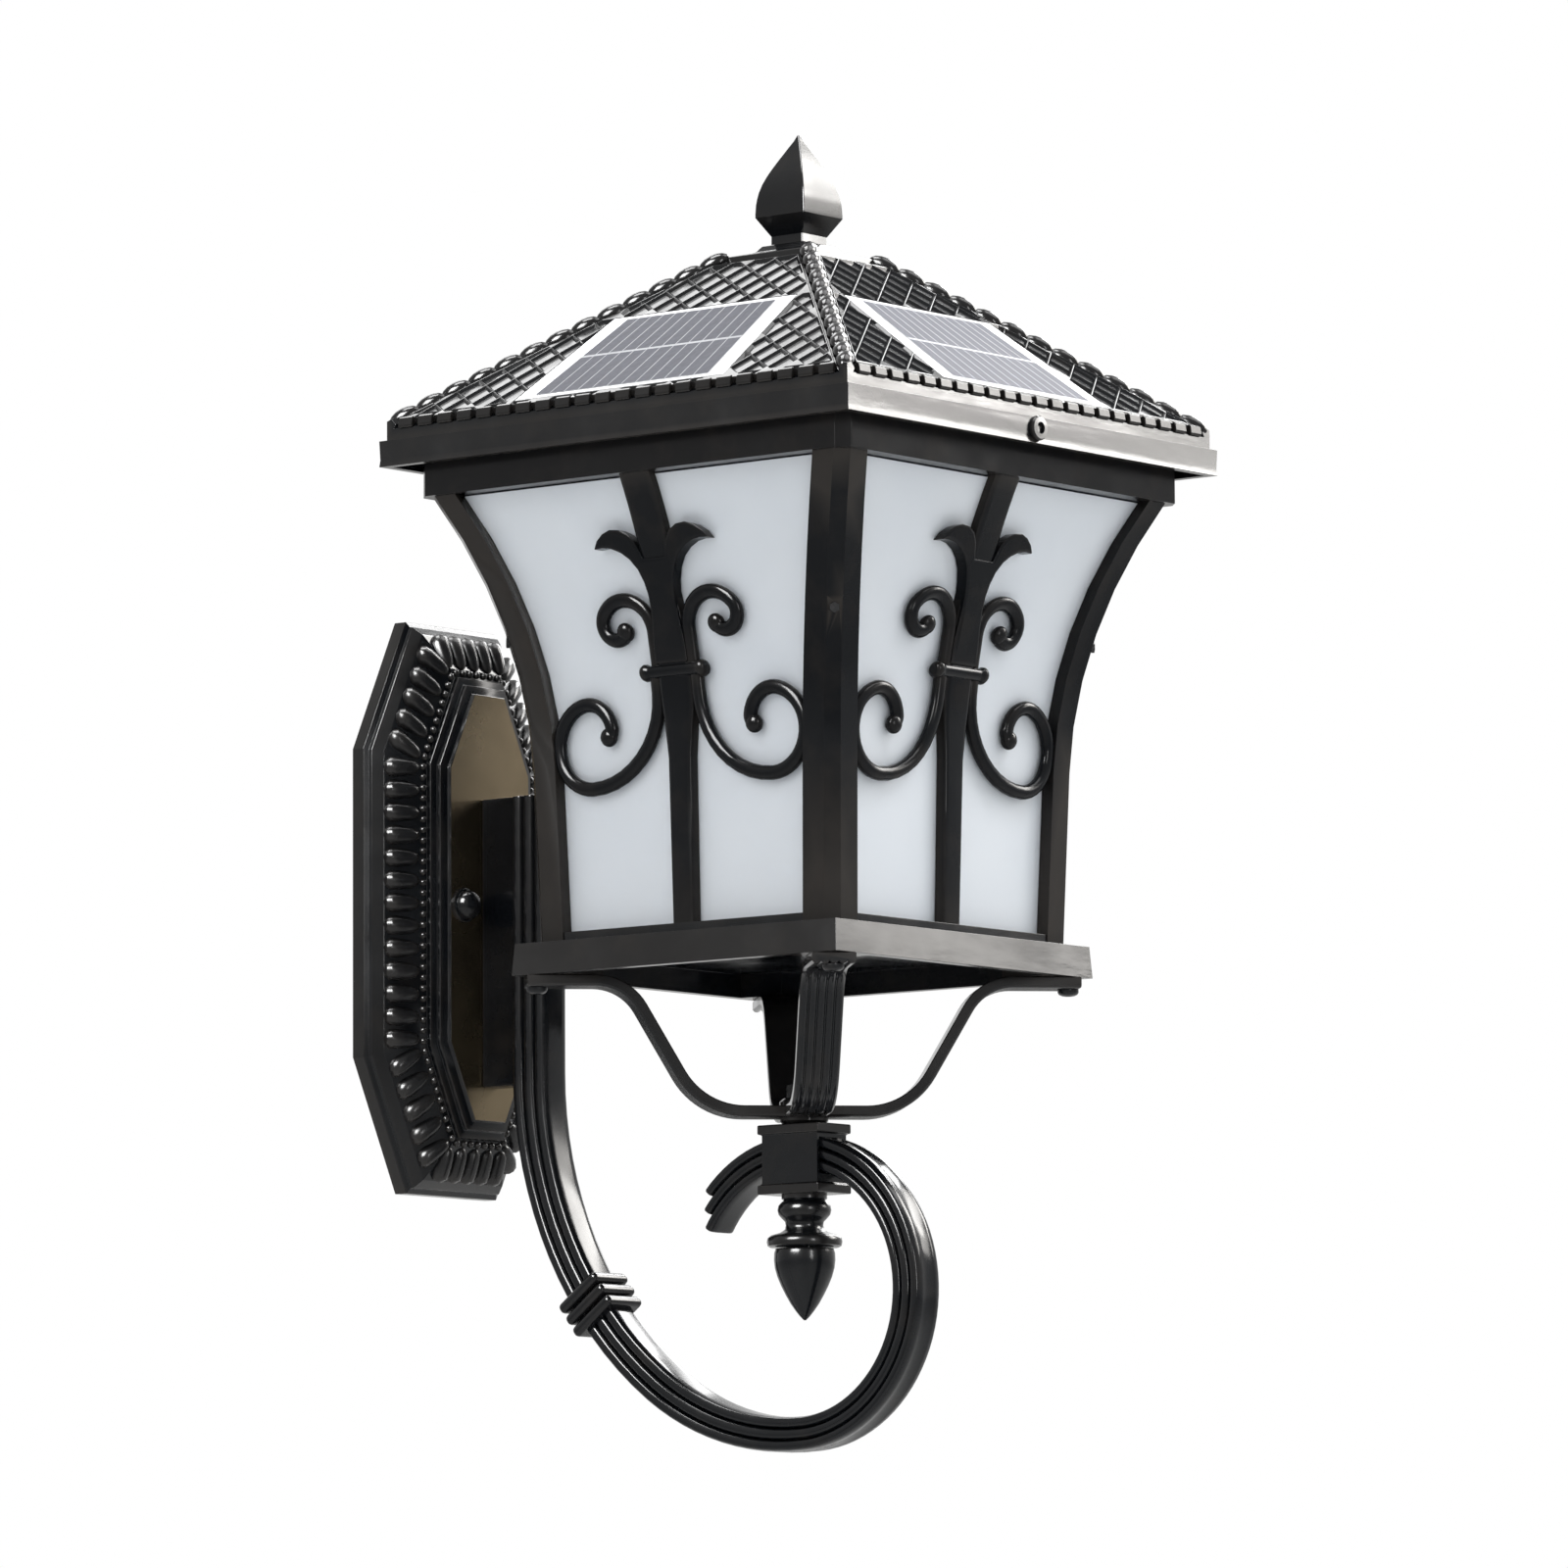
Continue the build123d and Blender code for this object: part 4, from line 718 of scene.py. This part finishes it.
def scroll(name, start, lead, arcs):
    """A round bar from a straight lead through arcs, each of a centre and a turn, to its bud."""
    corners = []
    for step in range(bar_sides):
        turn = 2 * math.pi * step / bar_sides
        across = start[0] + bar_half * math.cos(turn)
        corners.append(Vector((across, bar_depth + bar_half_depth * math.sin(turn), lead)))
    piece = outline_piece(name, corners)
    open_piece(piece)
    draw_out(0, 0, start[1] - lead)
    for centre, turn in arcs:
        steps = max(6, round(abs(turn) / 9))
        axis = (0, math.copysign(1, turn), 0)
        place = (centre[0], bar_depth, centre[1])
        bpy.ops.mesh.spin(steps=steps, angle=math.radians(abs(turn)), center=place, axis=axis)
    bpy.ops.object.mode_set(mode="OBJECT")
    end = sum((corner.co for corner in piece.data.vertices if corner.select), Vector()) / bar_sides
    close_piece(piece)
    bpy.ops.object.select_all(action="DESELECT")
    bpy.ops.mesh.primitive_uv_sphere_add(segments=14, ring_count=10, radius=bud_radius, location=end)
    bud = bpy.context.object
    bpy.ops.object.transform_apply(location=True, rotation=True, scale=True)
    open_piece(bud)
    bpy.ops.transform.resize(value=(1, 0.8, 1), center_override=end)
    bpy.ops.object.mode_set(mode="OBJECT")
    return join_pieces([piece, bud])


def scroll_arcs(centre, first_turn, outer_radii, ends):
    """Centres and turns of a scroll's arcs, each touching the next."""
    arcs = []
    turn = first_turn
    for step, end in enumerate(ends):
        arcs.append((tuple(centre), end - turn))
        if step + 1 < len(ends):
            shift = outer_radii[step] - outer_radii[step + 1]
            across = centre[0] + shift * math.cos(math.radians(end))
            up = centre[1] + shift * math.sin(math.radians(end))
            centre = (across, up)
        turn = end
    return arcs


lower_radii = [35.3 * mm, 18.2 * mm, 13.6 * mm, 6 * mm]
lower_centre = (42 * mm, 64 * mm)
lower_arcs = scroll_arcs(lower_centre, 180, lower_radii, (270, 435, 530, 600))
lower_start = (lower_centre[0] - lower_radii[0] + bar_half, lower_centre[1])
lower_scroll = scroll("lower_scroll", lower_start, 70 * mm, lower_arcs)
upper_radii = [15 * mm, 8.5 * mm, 5.6 * mm]
upper_centre = (20.5 * mm, 85.8 * mm)
upper_arcs = scroll_arcs(upper_centre, 180, upper_radii, (40, -120, -165))
upper_start = (upper_centre[0] - upper_radii[0] + bar_half, upper_centre[1])
upper_scroll = scroll("upper_scroll", upper_start, 72 * mm, upper_arcs)
leaf_half = [(7.4, 74), (7.2, 81), (6.4, 88), (5.9, 94), (6.1, 99), (6.9, 103.4), (8.6, 107.8)]
leaf_half += [(11.4, 111.6), (14.8, 114.2), (18.8, 116), (22.6, 116.6), (26.6, 116.4), (24.6, 119.2)]
leaf_half += [(21.4, 121.4), (17.6, 122.6), (13.4, 122.2), (9.8, 120.4), (7.4, 117.4), (5.2, 111.4)]
leaf_face = 0.1
leaf_depth = 4.6 * mm
leaf_corners = [Vector((across, leaf_face, height)) * mm for across, height in leaf_half]
leaf_corners += [Vector((-across, leaf_face, height)) * mm for across, height in reversed(leaf_half)]
leaf = outline_piece("grille_leaf", leaf_corners)
open_piece(leaf)
draw_out(0, leaf_depth, 0)
select_faces(leaf, lambda face: all(corner.co.y < 0.2 * mm for corner in face.verts))
bpy.ops.mesh.inset(thickness=1.3 * mm, depth=-0.45 * mm, use_even_offset=True)
bpy.ops.object.mode_set(mode="OBJECT")
close_piece(leaf)
ease_edges(leaf, 0.55 * mm, 2, 30)
mullion_corners = [(-1, 1.7), (-0.9, 0.9), (-0.68, 0.55), (0.68, 0.55), (0.9, 0.9)]
mullion_corners += [(1, 1.7), (1, 5), (-1, 5)]
mullion_levels = [(4.9, -23.5), (5, -8), (5.1, 8), (5.2, 24), (5.3, 40), (6.6, 52), (7.6, 62)]
mullion_levels += [(7.6, 80), (6.4, 92), (5.8, 100), (5.8, 106), (6.6, 112), (7, 119), (7, 124)]
mullion_levels += [(7, 130), (7, 136), (7, 141)]
half_width, height = mullion_levels[0]
mullion_section = [Vector((share * half_width, deep, height)) * mm for share, deep in mullion_corners]
mullion = outline_piece("grille_mullion", mullion_section)
open_piece(mullion)
for next_half, next_height in mullion_levels[1:]:
    draw_out(0, 0, (next_height - height) * mm)
    bpy.ops.transform.resize(value=(next_half / half_width, 1, 1), center_override=(0, 0, 0))
    half_width = next_half
    height = next_height
bpy.ops.object.mode_set(mode="OBJECT")
close_piece(mullion)
band_levels = [(1.4, -15.2), (2.6, -14.6), (3.2, -13.4), (3.1, -12.2), (2.6, -11.4), (2.5, -10), (2.5, 10)]
band_levels += [(2.6, 11.4), (3.1, 12.2), (3.2, 13.4), (2.6, 14.6), (1.4, 15.2)]
grille_band = turned("grille_band", band_levels, 16)
band_spot = Matrix.Translation((0, 1.7 * mm, 71.3 * mm))
grille_band.data.transform(band_spot @ Matrix.Rotation(math.pi / 2, 4, "Y"))
mirrored = Matrix.Scale(-1, 4, (1, 0, 0))
scroll_pairs = [repeat(piece, [Matrix(), mirrored]) for piece in (lower_scroll, upper_scroll)]
grille = join_pieces([mullion, leaf, grille_band] + scroll_pairs)
grille.name = "grille"
onto_flare(grille)
close_piece(grille)
side_turns = {"front": 0, "right": 90, "rear": 180, "left": 270}


def side_copy(piece, name, side):
    """A copy of a front piece, turned about the lantern's axis to the side named."""
    shape = piece.data.copy()
    turn = math.radians(side_turns[side])
    shape.transform(on_axis @ Matrix.Rotation(turn, 4, "Z") @ on_axis.inverted())
    copy = bpy.data.objects.new(name, shape)
    bpy.context.collection.objects.link(copy)
    return copy


def round_lantern(piece, part, finish, angle, body, slot, sides):
    """Copies a front piece to the sides named, each in place of that side's solid."""
    for side in sides:
        copy = side_copy(piece, part + "_" + side + "_piece", side)
        fit(copy, body, slot, finish, angle, part + "_" + side)
    bpy.data.objects.remove(piece)


round_lantern(grille, "grille", frame_paint, 40, "base", "black_paint", list(side_turns))


# The roof is a shallow four sided shell with a deep fascia and a rolled lip at its foot, pressed
# from sheet and painted. A bead like a rope runs down each hip. Two set screws through the fascia
# hold it on the rail.
roof_paint = black_paint("roof_paint", 0.16, 0.004 * mm, 0.3)
roof_pressing = eased_copy("roof_pressing", "roof_shell", 0.8 * mm, 30)
fascia_half = 110 * mm
lip_top = 154.4 * mm
lip_hollow = 0.28 * mm


def on_fascia(face):
    """Whether a face of the pressing lies on the outside of its fascia."""
    middle = face.calc_center_median() - lantern_axis
    return max(abs(middle.x), abs(middle.y)) > fascia_half - 0.5 * mm and abs(face.normal.z) < 0.3


use_piece(roof_pressing)
bpy.ops.object.mode_set(mode="EDIT")
select_faces(roof_pressing, on_fascia)
bpy.ops.mesh.bisect(plane_co=(0, 0, lip_top), plane_no=(0, 0, 1))
lip_share = 1 - lip_hollow / fascia_half
bpy.ops.transform.resize(value=(lip_share, lip_share, 1), center_override=lantern_axis)
bpy.ops.object.mode_set(mode="OBJECT")
fit(roof_pressing, "roof", "black_paint", roof_paint, 40, "roof_shell")
fascia_paint = black_paint("fascia_paint", 0.15, 0.004 * mm, 0.3, 0.18)
paint_faces(roof_pressing, fascia_paint, lambda face: abs(face.normal.z) < 0.35)
rim_half = 108 * mm
rim_height = 166 * mm
peak_half = 19 * mm
peak_height = 229.5 * mm
strand_half = 3.4 * mm
strand_half_length = 6.3 * mm
strand_twist = math.radians(12)
strand_count = 13
bpy.ops.object.select_all(action="DESELECT")
bpy.ops.mesh.primitive_uv_sphere_add(segments=12, ring_count=8, radius=1)
strand = bpy.context.object
strand.name = "hip_ropes"
open_piece(strand)
bpy.ops.transform.resize(value=(strand_half, strand_half, strand_half_length))
bpy.ops.transform.rotate(value=strand_twist, orient_axis="Y", center_override=(0, 0, 0))
bpy.ops.object.mode_set(mode="OBJECT")
hip_low = Vector((rim_half * math.sqrt(2) - 2 * mm, 0, rim_height + 2.4 * mm))
hip_high = Vector((peak_half * math.sqrt(2), 0, peak_height + 2 * mm))
hip_lean = (hip_high - hip_low).normalized().to_track_quat("Z", "Y").to_matrix().to_4x4()
strand_places = []
for corner in corner_places:
    for step in range(strand_count):
        centre = hip_low.lerp(hip_high, (step + 0.5) / strand_count)
        strand_places.append(corner @ Matrix.Translation(centre) @ hip_lean)
strands = repeat(strand, strand_places)
fit(strands, "roof", "black_paint", roof_paint, 60)
set_height = 157.5 * mm
set_levels = [(2, -9), (2, -0.1), (4.6, 0), (4.6, 0.9), (4, 1.6), (2.2, 1.7), (1.9, 0.6), (0.1, 0.6)]
set_screw = turned("fascia_screw_heads", set_levels, 20)
set_screw.data.transform(Matrix.Translation((0, -fascia_half, set_height)) @ towards_front)
set_screws = repeat(set_screw, [on_axis, on_axis @ Matrix.Rotation(math.pi, 4, "Z")])
fit(set_screws, "roof", "black_screw", fascia_paint, 30, "roof_screws")


# A fine diagonal lattice lies on each slope round the solar panel, with a row of small blocks
# along its eave. It is cast in one piece with its border, and painted black.
rise_run = math.hypot(rim_half - peak_half, peak_height - rim_height)
slope_cos = (rim_half - peak_half) / rise_run
slope_sin = (peak_height - rim_height) / rise_run
lattice_pitch = 12.4 * mm
lattice_climb = 15 * mm
lattice_turn = math.radians(12)
rib_bands = [(0.2, 0.06), (0.35, 0.38), (0.5, 0.6)]
whole_cell = 20 * mm * mm
lattice_top = 2.6 * mm
lattice_low = 2 * mm
lattice_high = 103 * mm
hip_clear = 3.4 * mm
panel_low = 5.2 * mm
panel_high = 66.7 * mm
panel_low_half = 49 * mm
panel_high_half = 43 * mm


def onto_slope(piece):
    """Lays a flat piece, with its Y up the slope, on the front slope."""
    lean = Matrix.Rotation(math.atan2(slope_sin, slope_cos), 4, "X")
    foot = Matrix.Translation(lantern_axis + Vector((0, -rim_half, rim_height)))
    piece.data.transform(foot @ lean)


edge_half = rim_half - hip_clear * math.hypot(1, slope_cos)
lattice_cuts = [((0, lattice_low, 0), (0, -1, 0)), ((0, lattice_high, 0), (0, 1, 0))]
lattice_cuts += [((edge_half, 0, 0), (1, slope_cos, 0)), ((-edge_half, 0, 0), (-1, slope_cos, 0))]
panel_gap = 0.3 * mm
panel_lean = (panel_low_half - panel_high_half) / (panel_high - panel_low)
panel_cuts = [((0, panel_low - panel_gap, 0), (0, -1, 0)), ((0, panel_high + panel_gap, 0), (0, 1, 0))]
panel_cuts.append(((panel_low_half + panel_gap, panel_low, 0), (1, panel_lean, 0)))
panel_cuts.append(((-panel_low_half - panel_gap, panel_low, 0), (-1, panel_lean, 0)))


def in_opening(face):
    """Whether a lattice face lies in the panel's opening."""
    middle = face.calc_center_median()
    inner_half = panel_low_half + panel_gap - (middle.y - panel_low) * panel_lean
    return panel_low - panel_gap < middle.y < panel_high + panel_gap and abs(middle.x) < inner_half


def whole_top(face):
    """Whether a face is the top of a cell that is large enough for ribs round it."""
    return face.verts[0].co.z > 0.9 * lattice_top and face.calc_area() > whole_cell


def eave_blocks():
    """The row of small blocks with one chamfer along the eave."""
    block_count = 22
    block_pitch = 9.4 * mm
    block_length = 6.6 * mm
    profile = [(-0.4, 0), (-0.4, 1), (1.6, 3), (3, 3), (3, 0)]
    corners = [Vector((-block_length / 2, along * mm, up * mm)) for along, up in profile]
    block = outline_piece("eave_block", corners)
    open_piece(block)
    draw_out(block_length, 0, 0)
    bpy.ops.object.mode_set(mode="OBJECT")
    close_piece(block)
    ease_edges(block, 0.25 * mm, 1, 30)
    middle = (block_count - 1) / 2
    steps = range(block_count)
    return repeat(block, [Matrix.Translation(((step - middle) * block_pitch, 0, 0)) for step in steps])


def slope_lattice(turn):
    """A lattice for one slope, laid flat, its diamonds turned a little, with its opening and eave."""
    cells = 36
    bpy.ops.object.select_all(action="DESELECT")
    size = cells * lattice_pitch / math.sqrt(2)
    bpy.ops.mesh.primitive_grid_add(x_subdivisions=cells, y_subdivisions=cells, size=size)
    lattice = bpy.context.object
    open_piece(lattice)
    bpy.ops.transform.rotate(value=math.pi / 4, orient_axis="Z", center_override=(0, 0, 0))
    bpy.ops.transform.resize(value=(1, lattice_climb / lattice_pitch, 1), center_override=(0, 0, 0))
    bpy.ops.transform.rotate(value=turn, orient_axis="Z", center_override=(0, 0, 0))
    for place, facing in lattice_cuts:
        bpy.ops.mesh.select_all(action="SELECT")
        bpy.ops.mesh.bisect(plane_co=place, plane_no=facing, clear_outer=True)
    for place, facing in panel_cuts:
        bpy.ops.mesh.select_all(action="SELECT")
        bpy.ops.mesh.bisect(plane_co=place, plane_no=facing)
    select_faces(lattice, in_opening)
    bpy.ops.mesh.delete(type="FACE")
    bpy.ops.mesh.select_all(action="SELECT")
    draw_out(0, 0, lattice_top)
    select_faces(lattice, whole_top)
    for inwards, down in rib_bands:
        width = inwards * mm
        bpy.ops.mesh.inset(use_individual=True, thickness=width, depth=-down * mm, use_even_offset=True)
    bpy.ops.object.mode_set(mode="OBJECT")
    close_piece(lattice)
    return join_pieces([lattice, eave_blocks()])


for turn, sides in ((lattice_turn, ("front", "rear")), (-lattice_turn, ("right", "left"))):
    lattice = slope_lattice(turn)
    onto_slope(lattice)
    round_lantern(lattice, "lattice", roof_paint, 20, "roof", "black_paint", sides)


# A solar panel lies in each lattice's opening: dark cells under a clear sheet on a white board,
# with fine silver lines and one wider strip across. It is laminated, and glued to the slope.
board_colours = [(0.66, 0.67, 0.69), (0.76, 0.77, 0.78)]
board_white = mottled("panel_white", 6 * mm, 4, (0.3, 0.7), board_colours, (0.18, 0.32))
cell_colours = [(0.085, 0.088, 0.109), (0.118, 0.122, 0.148)]
cell_blue = mottled("solar_cell", 2.5 * mm, 5, (0.35, 0.65), cell_colours, (0.3, 0.45))
shader_of(cell_blue).inputs["IOR"].default_value = 1.08
silver_colours = [(0.34, 0.35, 0.38), (0.44, 0.45, 0.48)]
silver = mottled("silver_line", 1 * mm, 3, (0.3, 0.7), silver_colours, (0.3, 0.45))
shader_of(silver).inputs["IOR"].default_value = 1.2
panel_top = 2.6 * mm
panel_border = 2.5 * mm
panel_margin = 8.2 * mm
strip_share = 0.009
strip_reach = 5 * mm
line_half = 0.22 * mm
cell_lift = 0.12 * mm
cell_columns = 12
panel_corners = [Vector((-panel_low_half, panel_low, 0)), Vector((panel_low_half, panel_low, 0))]
panel_corners += [Vector((panel_high_half, panel_high, 0)), Vector((-panel_high_half, panel_high, 0))]
panel_board = outline_piece("panel_board", panel_corners)
open_piece(panel_board)
draw_out(0, 0, panel_top)
bpy.ops.object.mode_set(mode="OBJECT")
close_piece(panel_board)
ease_edges(panel_board, 0.3 * mm, 1, 60)
bpy.ops.object.select_all(action="DESELECT")
bpy.ops.mesh.primitive_grid_add(x_subdivisions=cell_columns, y_subdivisions=3, size=1)
cell_field = bpy.context.object
cell_field.name = "panel_cells"
field_low = panel_low + panel_border
field_high = panel_high - panel_border
for corner in cell_field.data.vertices:
    up = corner.co.y
    on_strip = abs(up) < 0.4
    if on_strip:
        up = math.copysign(strip_share, up)
    height = field_low + (field_high - field_low) * (up + 0.5)
    half = panel_low_half - (height - panel_low) * panel_lean - panel_margin
    corner.co = Vector((2 * corner.co.x * half, height, panel_top + cell_lift))
open_piece(cell_field)
bpy.ops.mesh.inset(use_individual=True, thickness=line_half, use_even_offset=True)
bpy.ops.object.mode_set(mode="OBJECT")
panel_board.data.materials.append(board_white)
cell_field.data.materials.append(silver)
cell_field.data.materials.append(cell_blue)
field_middle = (field_low + field_high) / 2
for face in cell_field.data.polygons:
    face.material_index = int(face.select and abs(face.center.y - field_middle) > strip_reach)
for piece in (panel_board, cell_field):
    onto_slope(piece)
solar_panel = join_pieces([panel_board, cell_field])
for side in side_turns:
    panel = side_copy(solar_panel, "solar_panel_" + side + "_laminate", side)
    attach(panel, "roof")
    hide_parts("solar_panel_" + side)
bpy.data.objects.remove(solar_panel)


# A stepped cap covers the roof's open top, and a pointed square finial stands on it. A bolt from
# below draws both down. They are aluminium castings in the same black paint.
roof_cap = eased_copy("roof_cap_casting", "roof_cap", 0.5 * mm, 25)
cap_skirt = 2.4 * mm
cap_foot = peak_height + 0.6 * mm
for corner in roof_cap.data.vertices:
    if corner.co.z < cap_foot:
        corner.co.z -= cap_skirt
fit(roof_cap, "roof", "black_paint", roof_paint, 30, "roof_cap")
paint_faces(roof_cap, fascia_paint, lambda face: abs(face.normal.z) < 0.6)
finial_half = 11.6
finial_base = 246.5
finial_rise = 31.3
finial_levels = [(7.4, 236), (7.4, 239.5), (finial_half, finial_base)]
ogive = [(0.04, 1.0), (0.15, 0.985), (0.22, 0.96), (0.3, 0.92), (0.4, 0.84), (0.5, 0.73), (0.6, 0.6)]
ogive += [(0.7, 0.46), (0.78, 0.34), (0.85, 0.24), (0.92, 0.13), (1, 0.035)]
finial_levels += [(finial_half * wide, finial_base + finial_rise * up) for up, wide in ogive]
to_corner = math.sqrt(2)
finial = turned("finial_casting", [(half * to_corner, height) for half, height in finial_levels], 4)
finial.data.transform(on_axis @ Matrix.Rotation(math.pi / 4, 4, "Z"))
ease_edges(finial, 0.35 * mm, 2, 40)
fit(finial, "roof", "black_paint", enamel, 18, "finial")
neck_top = 240 * mm
paint_faces(finial, fascia_paint, lambda face: abs(face.normal.z) < 0.1 and face.center.z < neck_top)


# Under the roof hangs a white painted steel ceiling with the light: a ring board and its opal
# cover, two rechargeable cells in a moulded holder, the charge board and a push switch. Four
# screws hold it up.
ceiling_colours = [(0.66, 0.66, 0.64), (0.74, 0.74, 0.72)]
ceiling_white = mottled("ceiling_white", 30 * mm, 4, (0.3, 0.7), ceiling_colours, (0.38, 0.52))
roughen(ceiling_white, 1.2 * mm, 2, 0.02 * mm)
coat_nodes(ceiling_white, "ceiling_plate")
opal_colours = [(0.70, 0.70, 0.68), (0.78, 0.78, 0.76)]
opal = mottled("opal_plastic", 12 * mm, 3, (0.3, 0.7), opal_colours, (0.3, 0.42))
shader_of(opal).inputs["Transmission Weight"].default_value = 0.3
coat_nodes(opal, "led_diffuser")
circuit_colours = [(0.012, 0.10, 0.040), (0.022, 0.16, 0.065)]
circuit = mottled("circuit_board_green", 1.5 * mm, 4, (0.35, 0.65), circuit_colours, (0.3, 0.45))
coat_nodes(circuit, "controller_board", "led_board")
sleeve_colours = [(0.030, 0.085, 0.26), (0.042, 0.11, 0.32)]
sleeve = mottled("battery_wrap", 9 * mm, 4, (0.3, 0.7), sleeve_colours, (0.26, 0.4))
coat_nodes(sleeve, "battery_cells")
moulded_colours = [(0.018, 0.018, 0.019), (0.028, 0.028, 0.030)]
mould_size = 0.8 * mm
moulded = mottled("moulded_plastic", mould_size, 3, (0.3, 0.7), moulded_colours, (0.42, 0.58))
roughen(moulded, mould_size, 3, 0.02 * mm)
coat_nodes(moulded, "battery_holder", "switch_body", "switch_button")


# The light is shown before a plain white ground, with a pale floor well below it. Soft lamps stand
# round it: seven show only in its gloss, one only in its matt colours, and two in both.
floor_height = -0.72
bpy.ops.object.select_all(action="DESELECT")
bpy.ops.mesh.primitive_plane_add(size=30, location=(0, 0, floor_height))
floor = bpy.context.object
floor.name = "floor"
pale, pale_place = new_finish("pale_floor")
floor_clouds = patches(pale, pale_place, 2, 3)
floor_colour = colour_by(pale, floor_clouds, 0.3, 0.7, (0.80, 0.80, 0.79), (0.84, 0.84, 0.83))
pale.node_tree.links.new(floor_colour, shader_of(pale).inputs["Base Color"])
shader_of(pale).inputs["Roughness"].default_value = 0.7
floor.data.materials.append(pale)
middle = Vector((0, -0.17, 0.06))
lamp_distance = 2.6
white = (1, 1, 1)


def soft_lamp(name, towards, width, height, power, colour, shows):
    """An oblong soft lamp that faces the lantern and shows in its gloss, its matt colours or all."""
    lamp = bpy.data.lights.new(name, "AREA")
    lamp.shape = "RECTANGLE"
    lamp.size = width
    lamp.size_y = height
    lamp.energy = power
    lamp.color = colour
    holder = bpy.data.objects.new(name, lamp)
    holder.location = middle + Vector(towards).normalized() * lamp_distance
    holder.rotation_euler = (holder.location - middle).to_track_quat("Z", "Y").to_euler()
    holder.visible_diffuse = shows != "gloss"
    holder.visible_glossy = shows != "matt"
    bpy.context.collection.objects.link(holder)


soft_lamp("front_lamp", (0.75, -0.57, 0.354), 0.85, 0.6, 19, (1, 0.97, 0.93), "gloss")
soft_lamp("high_lamp", (0.755, -0.38, 0.535), 1, 0.9, 70, (1, 0.98, 0.95), "gloss")
soft_lamp("edge_lamp", (0.73, 0.03, 0.68), 0.7, 0.7, 46, white, "gloss")
soft_lamp("right_lamp", (0.88, 0.29, 0.36), 1, 0.9, 17, white, "gloss")
soft_lamp("side_lamp", (-0.87, 0, 0.49), 1.35, 1.35, 450, white, "gloss")
soft_lamp("crown_lamp", (-0.15, 0.2, 0.95), 1.2, 1.2, 120, white, "gloss")
soft_lamp("strip_lamp", (-0.36, -0.78, 0.12), 0.25, 1.1, 30, white, "gloss")
soft_lamp("back_lamp", (0.375, 0.647, 0.665), 0.75, 0.75, 9, white, "all")
soft_lamp("top_lamp", (0.25, -0.35, 0.9), 1.6, 1.6, 60, white, "all")
soft_lamp("room_lamp", (0.6, -0.7, 0.38), 1.6, 1.6, 11, white, "matt")
world = bpy.data.worlds.new("white_ground")
bpy.context.scene.world = world
world.use_nodes = True
sky = world.node_tree.nodes["Background"]
sky.inputs["Color"].default_value = (1, 1, 1, 1)
rays = world.node_tree.nodes.new("ShaderNodeLightPath")
seen = world.node_tree.nodes.new("ShaderNodeMath")
seen.operation = "MAXIMUM"
seen_all = world.node_tree.nodes.new("ShaderNodeMath")
seen_all.operation = "MAXIMUM"
level = world.node_tree.nodes.new("ShaderNodeMapRange")
level.inputs["To Min"].default_value = 0.75
level.inputs["To Max"].default_value = 1
world.node_tree.links.new(rays.outputs["Is Camera Ray"], seen.inputs[0])
world.node_tree.links.new(rays.outputs["Is Glossy Ray"], seen.inputs[1])
world.node_tree.links.new(seen.outputs["Value"], seen_all.inputs[0])
world.node_tree.links.new(rays.outputs["Is Transmission Ray"], seen_all.inputs[1])
world.node_tree.links.new(seen_all.outputs["Value"], level.inputs["Value"])
world.node_tree.links.new(level.outputs["Result"], sky.inputs["Strength"])
lens = bpy.data.cameras.new("camera")
lens.sensor_width = 36
lens.lens = 219.69
lens.clip_end = 100
camera = bpy.data.objects.new("camera", lens)
camera.location = Vector((-2727.7, -2361.3, -351.8)) * mm
camera.rotation_euler = [math.radians(turn) for turn in (96.3335, 0.2982, -51.1580)]
bpy.context.collection.objects.link(camera)
bpy.context.scene.camera = camera
bpy.context.scene.view_settings.view_transform = "Standard"
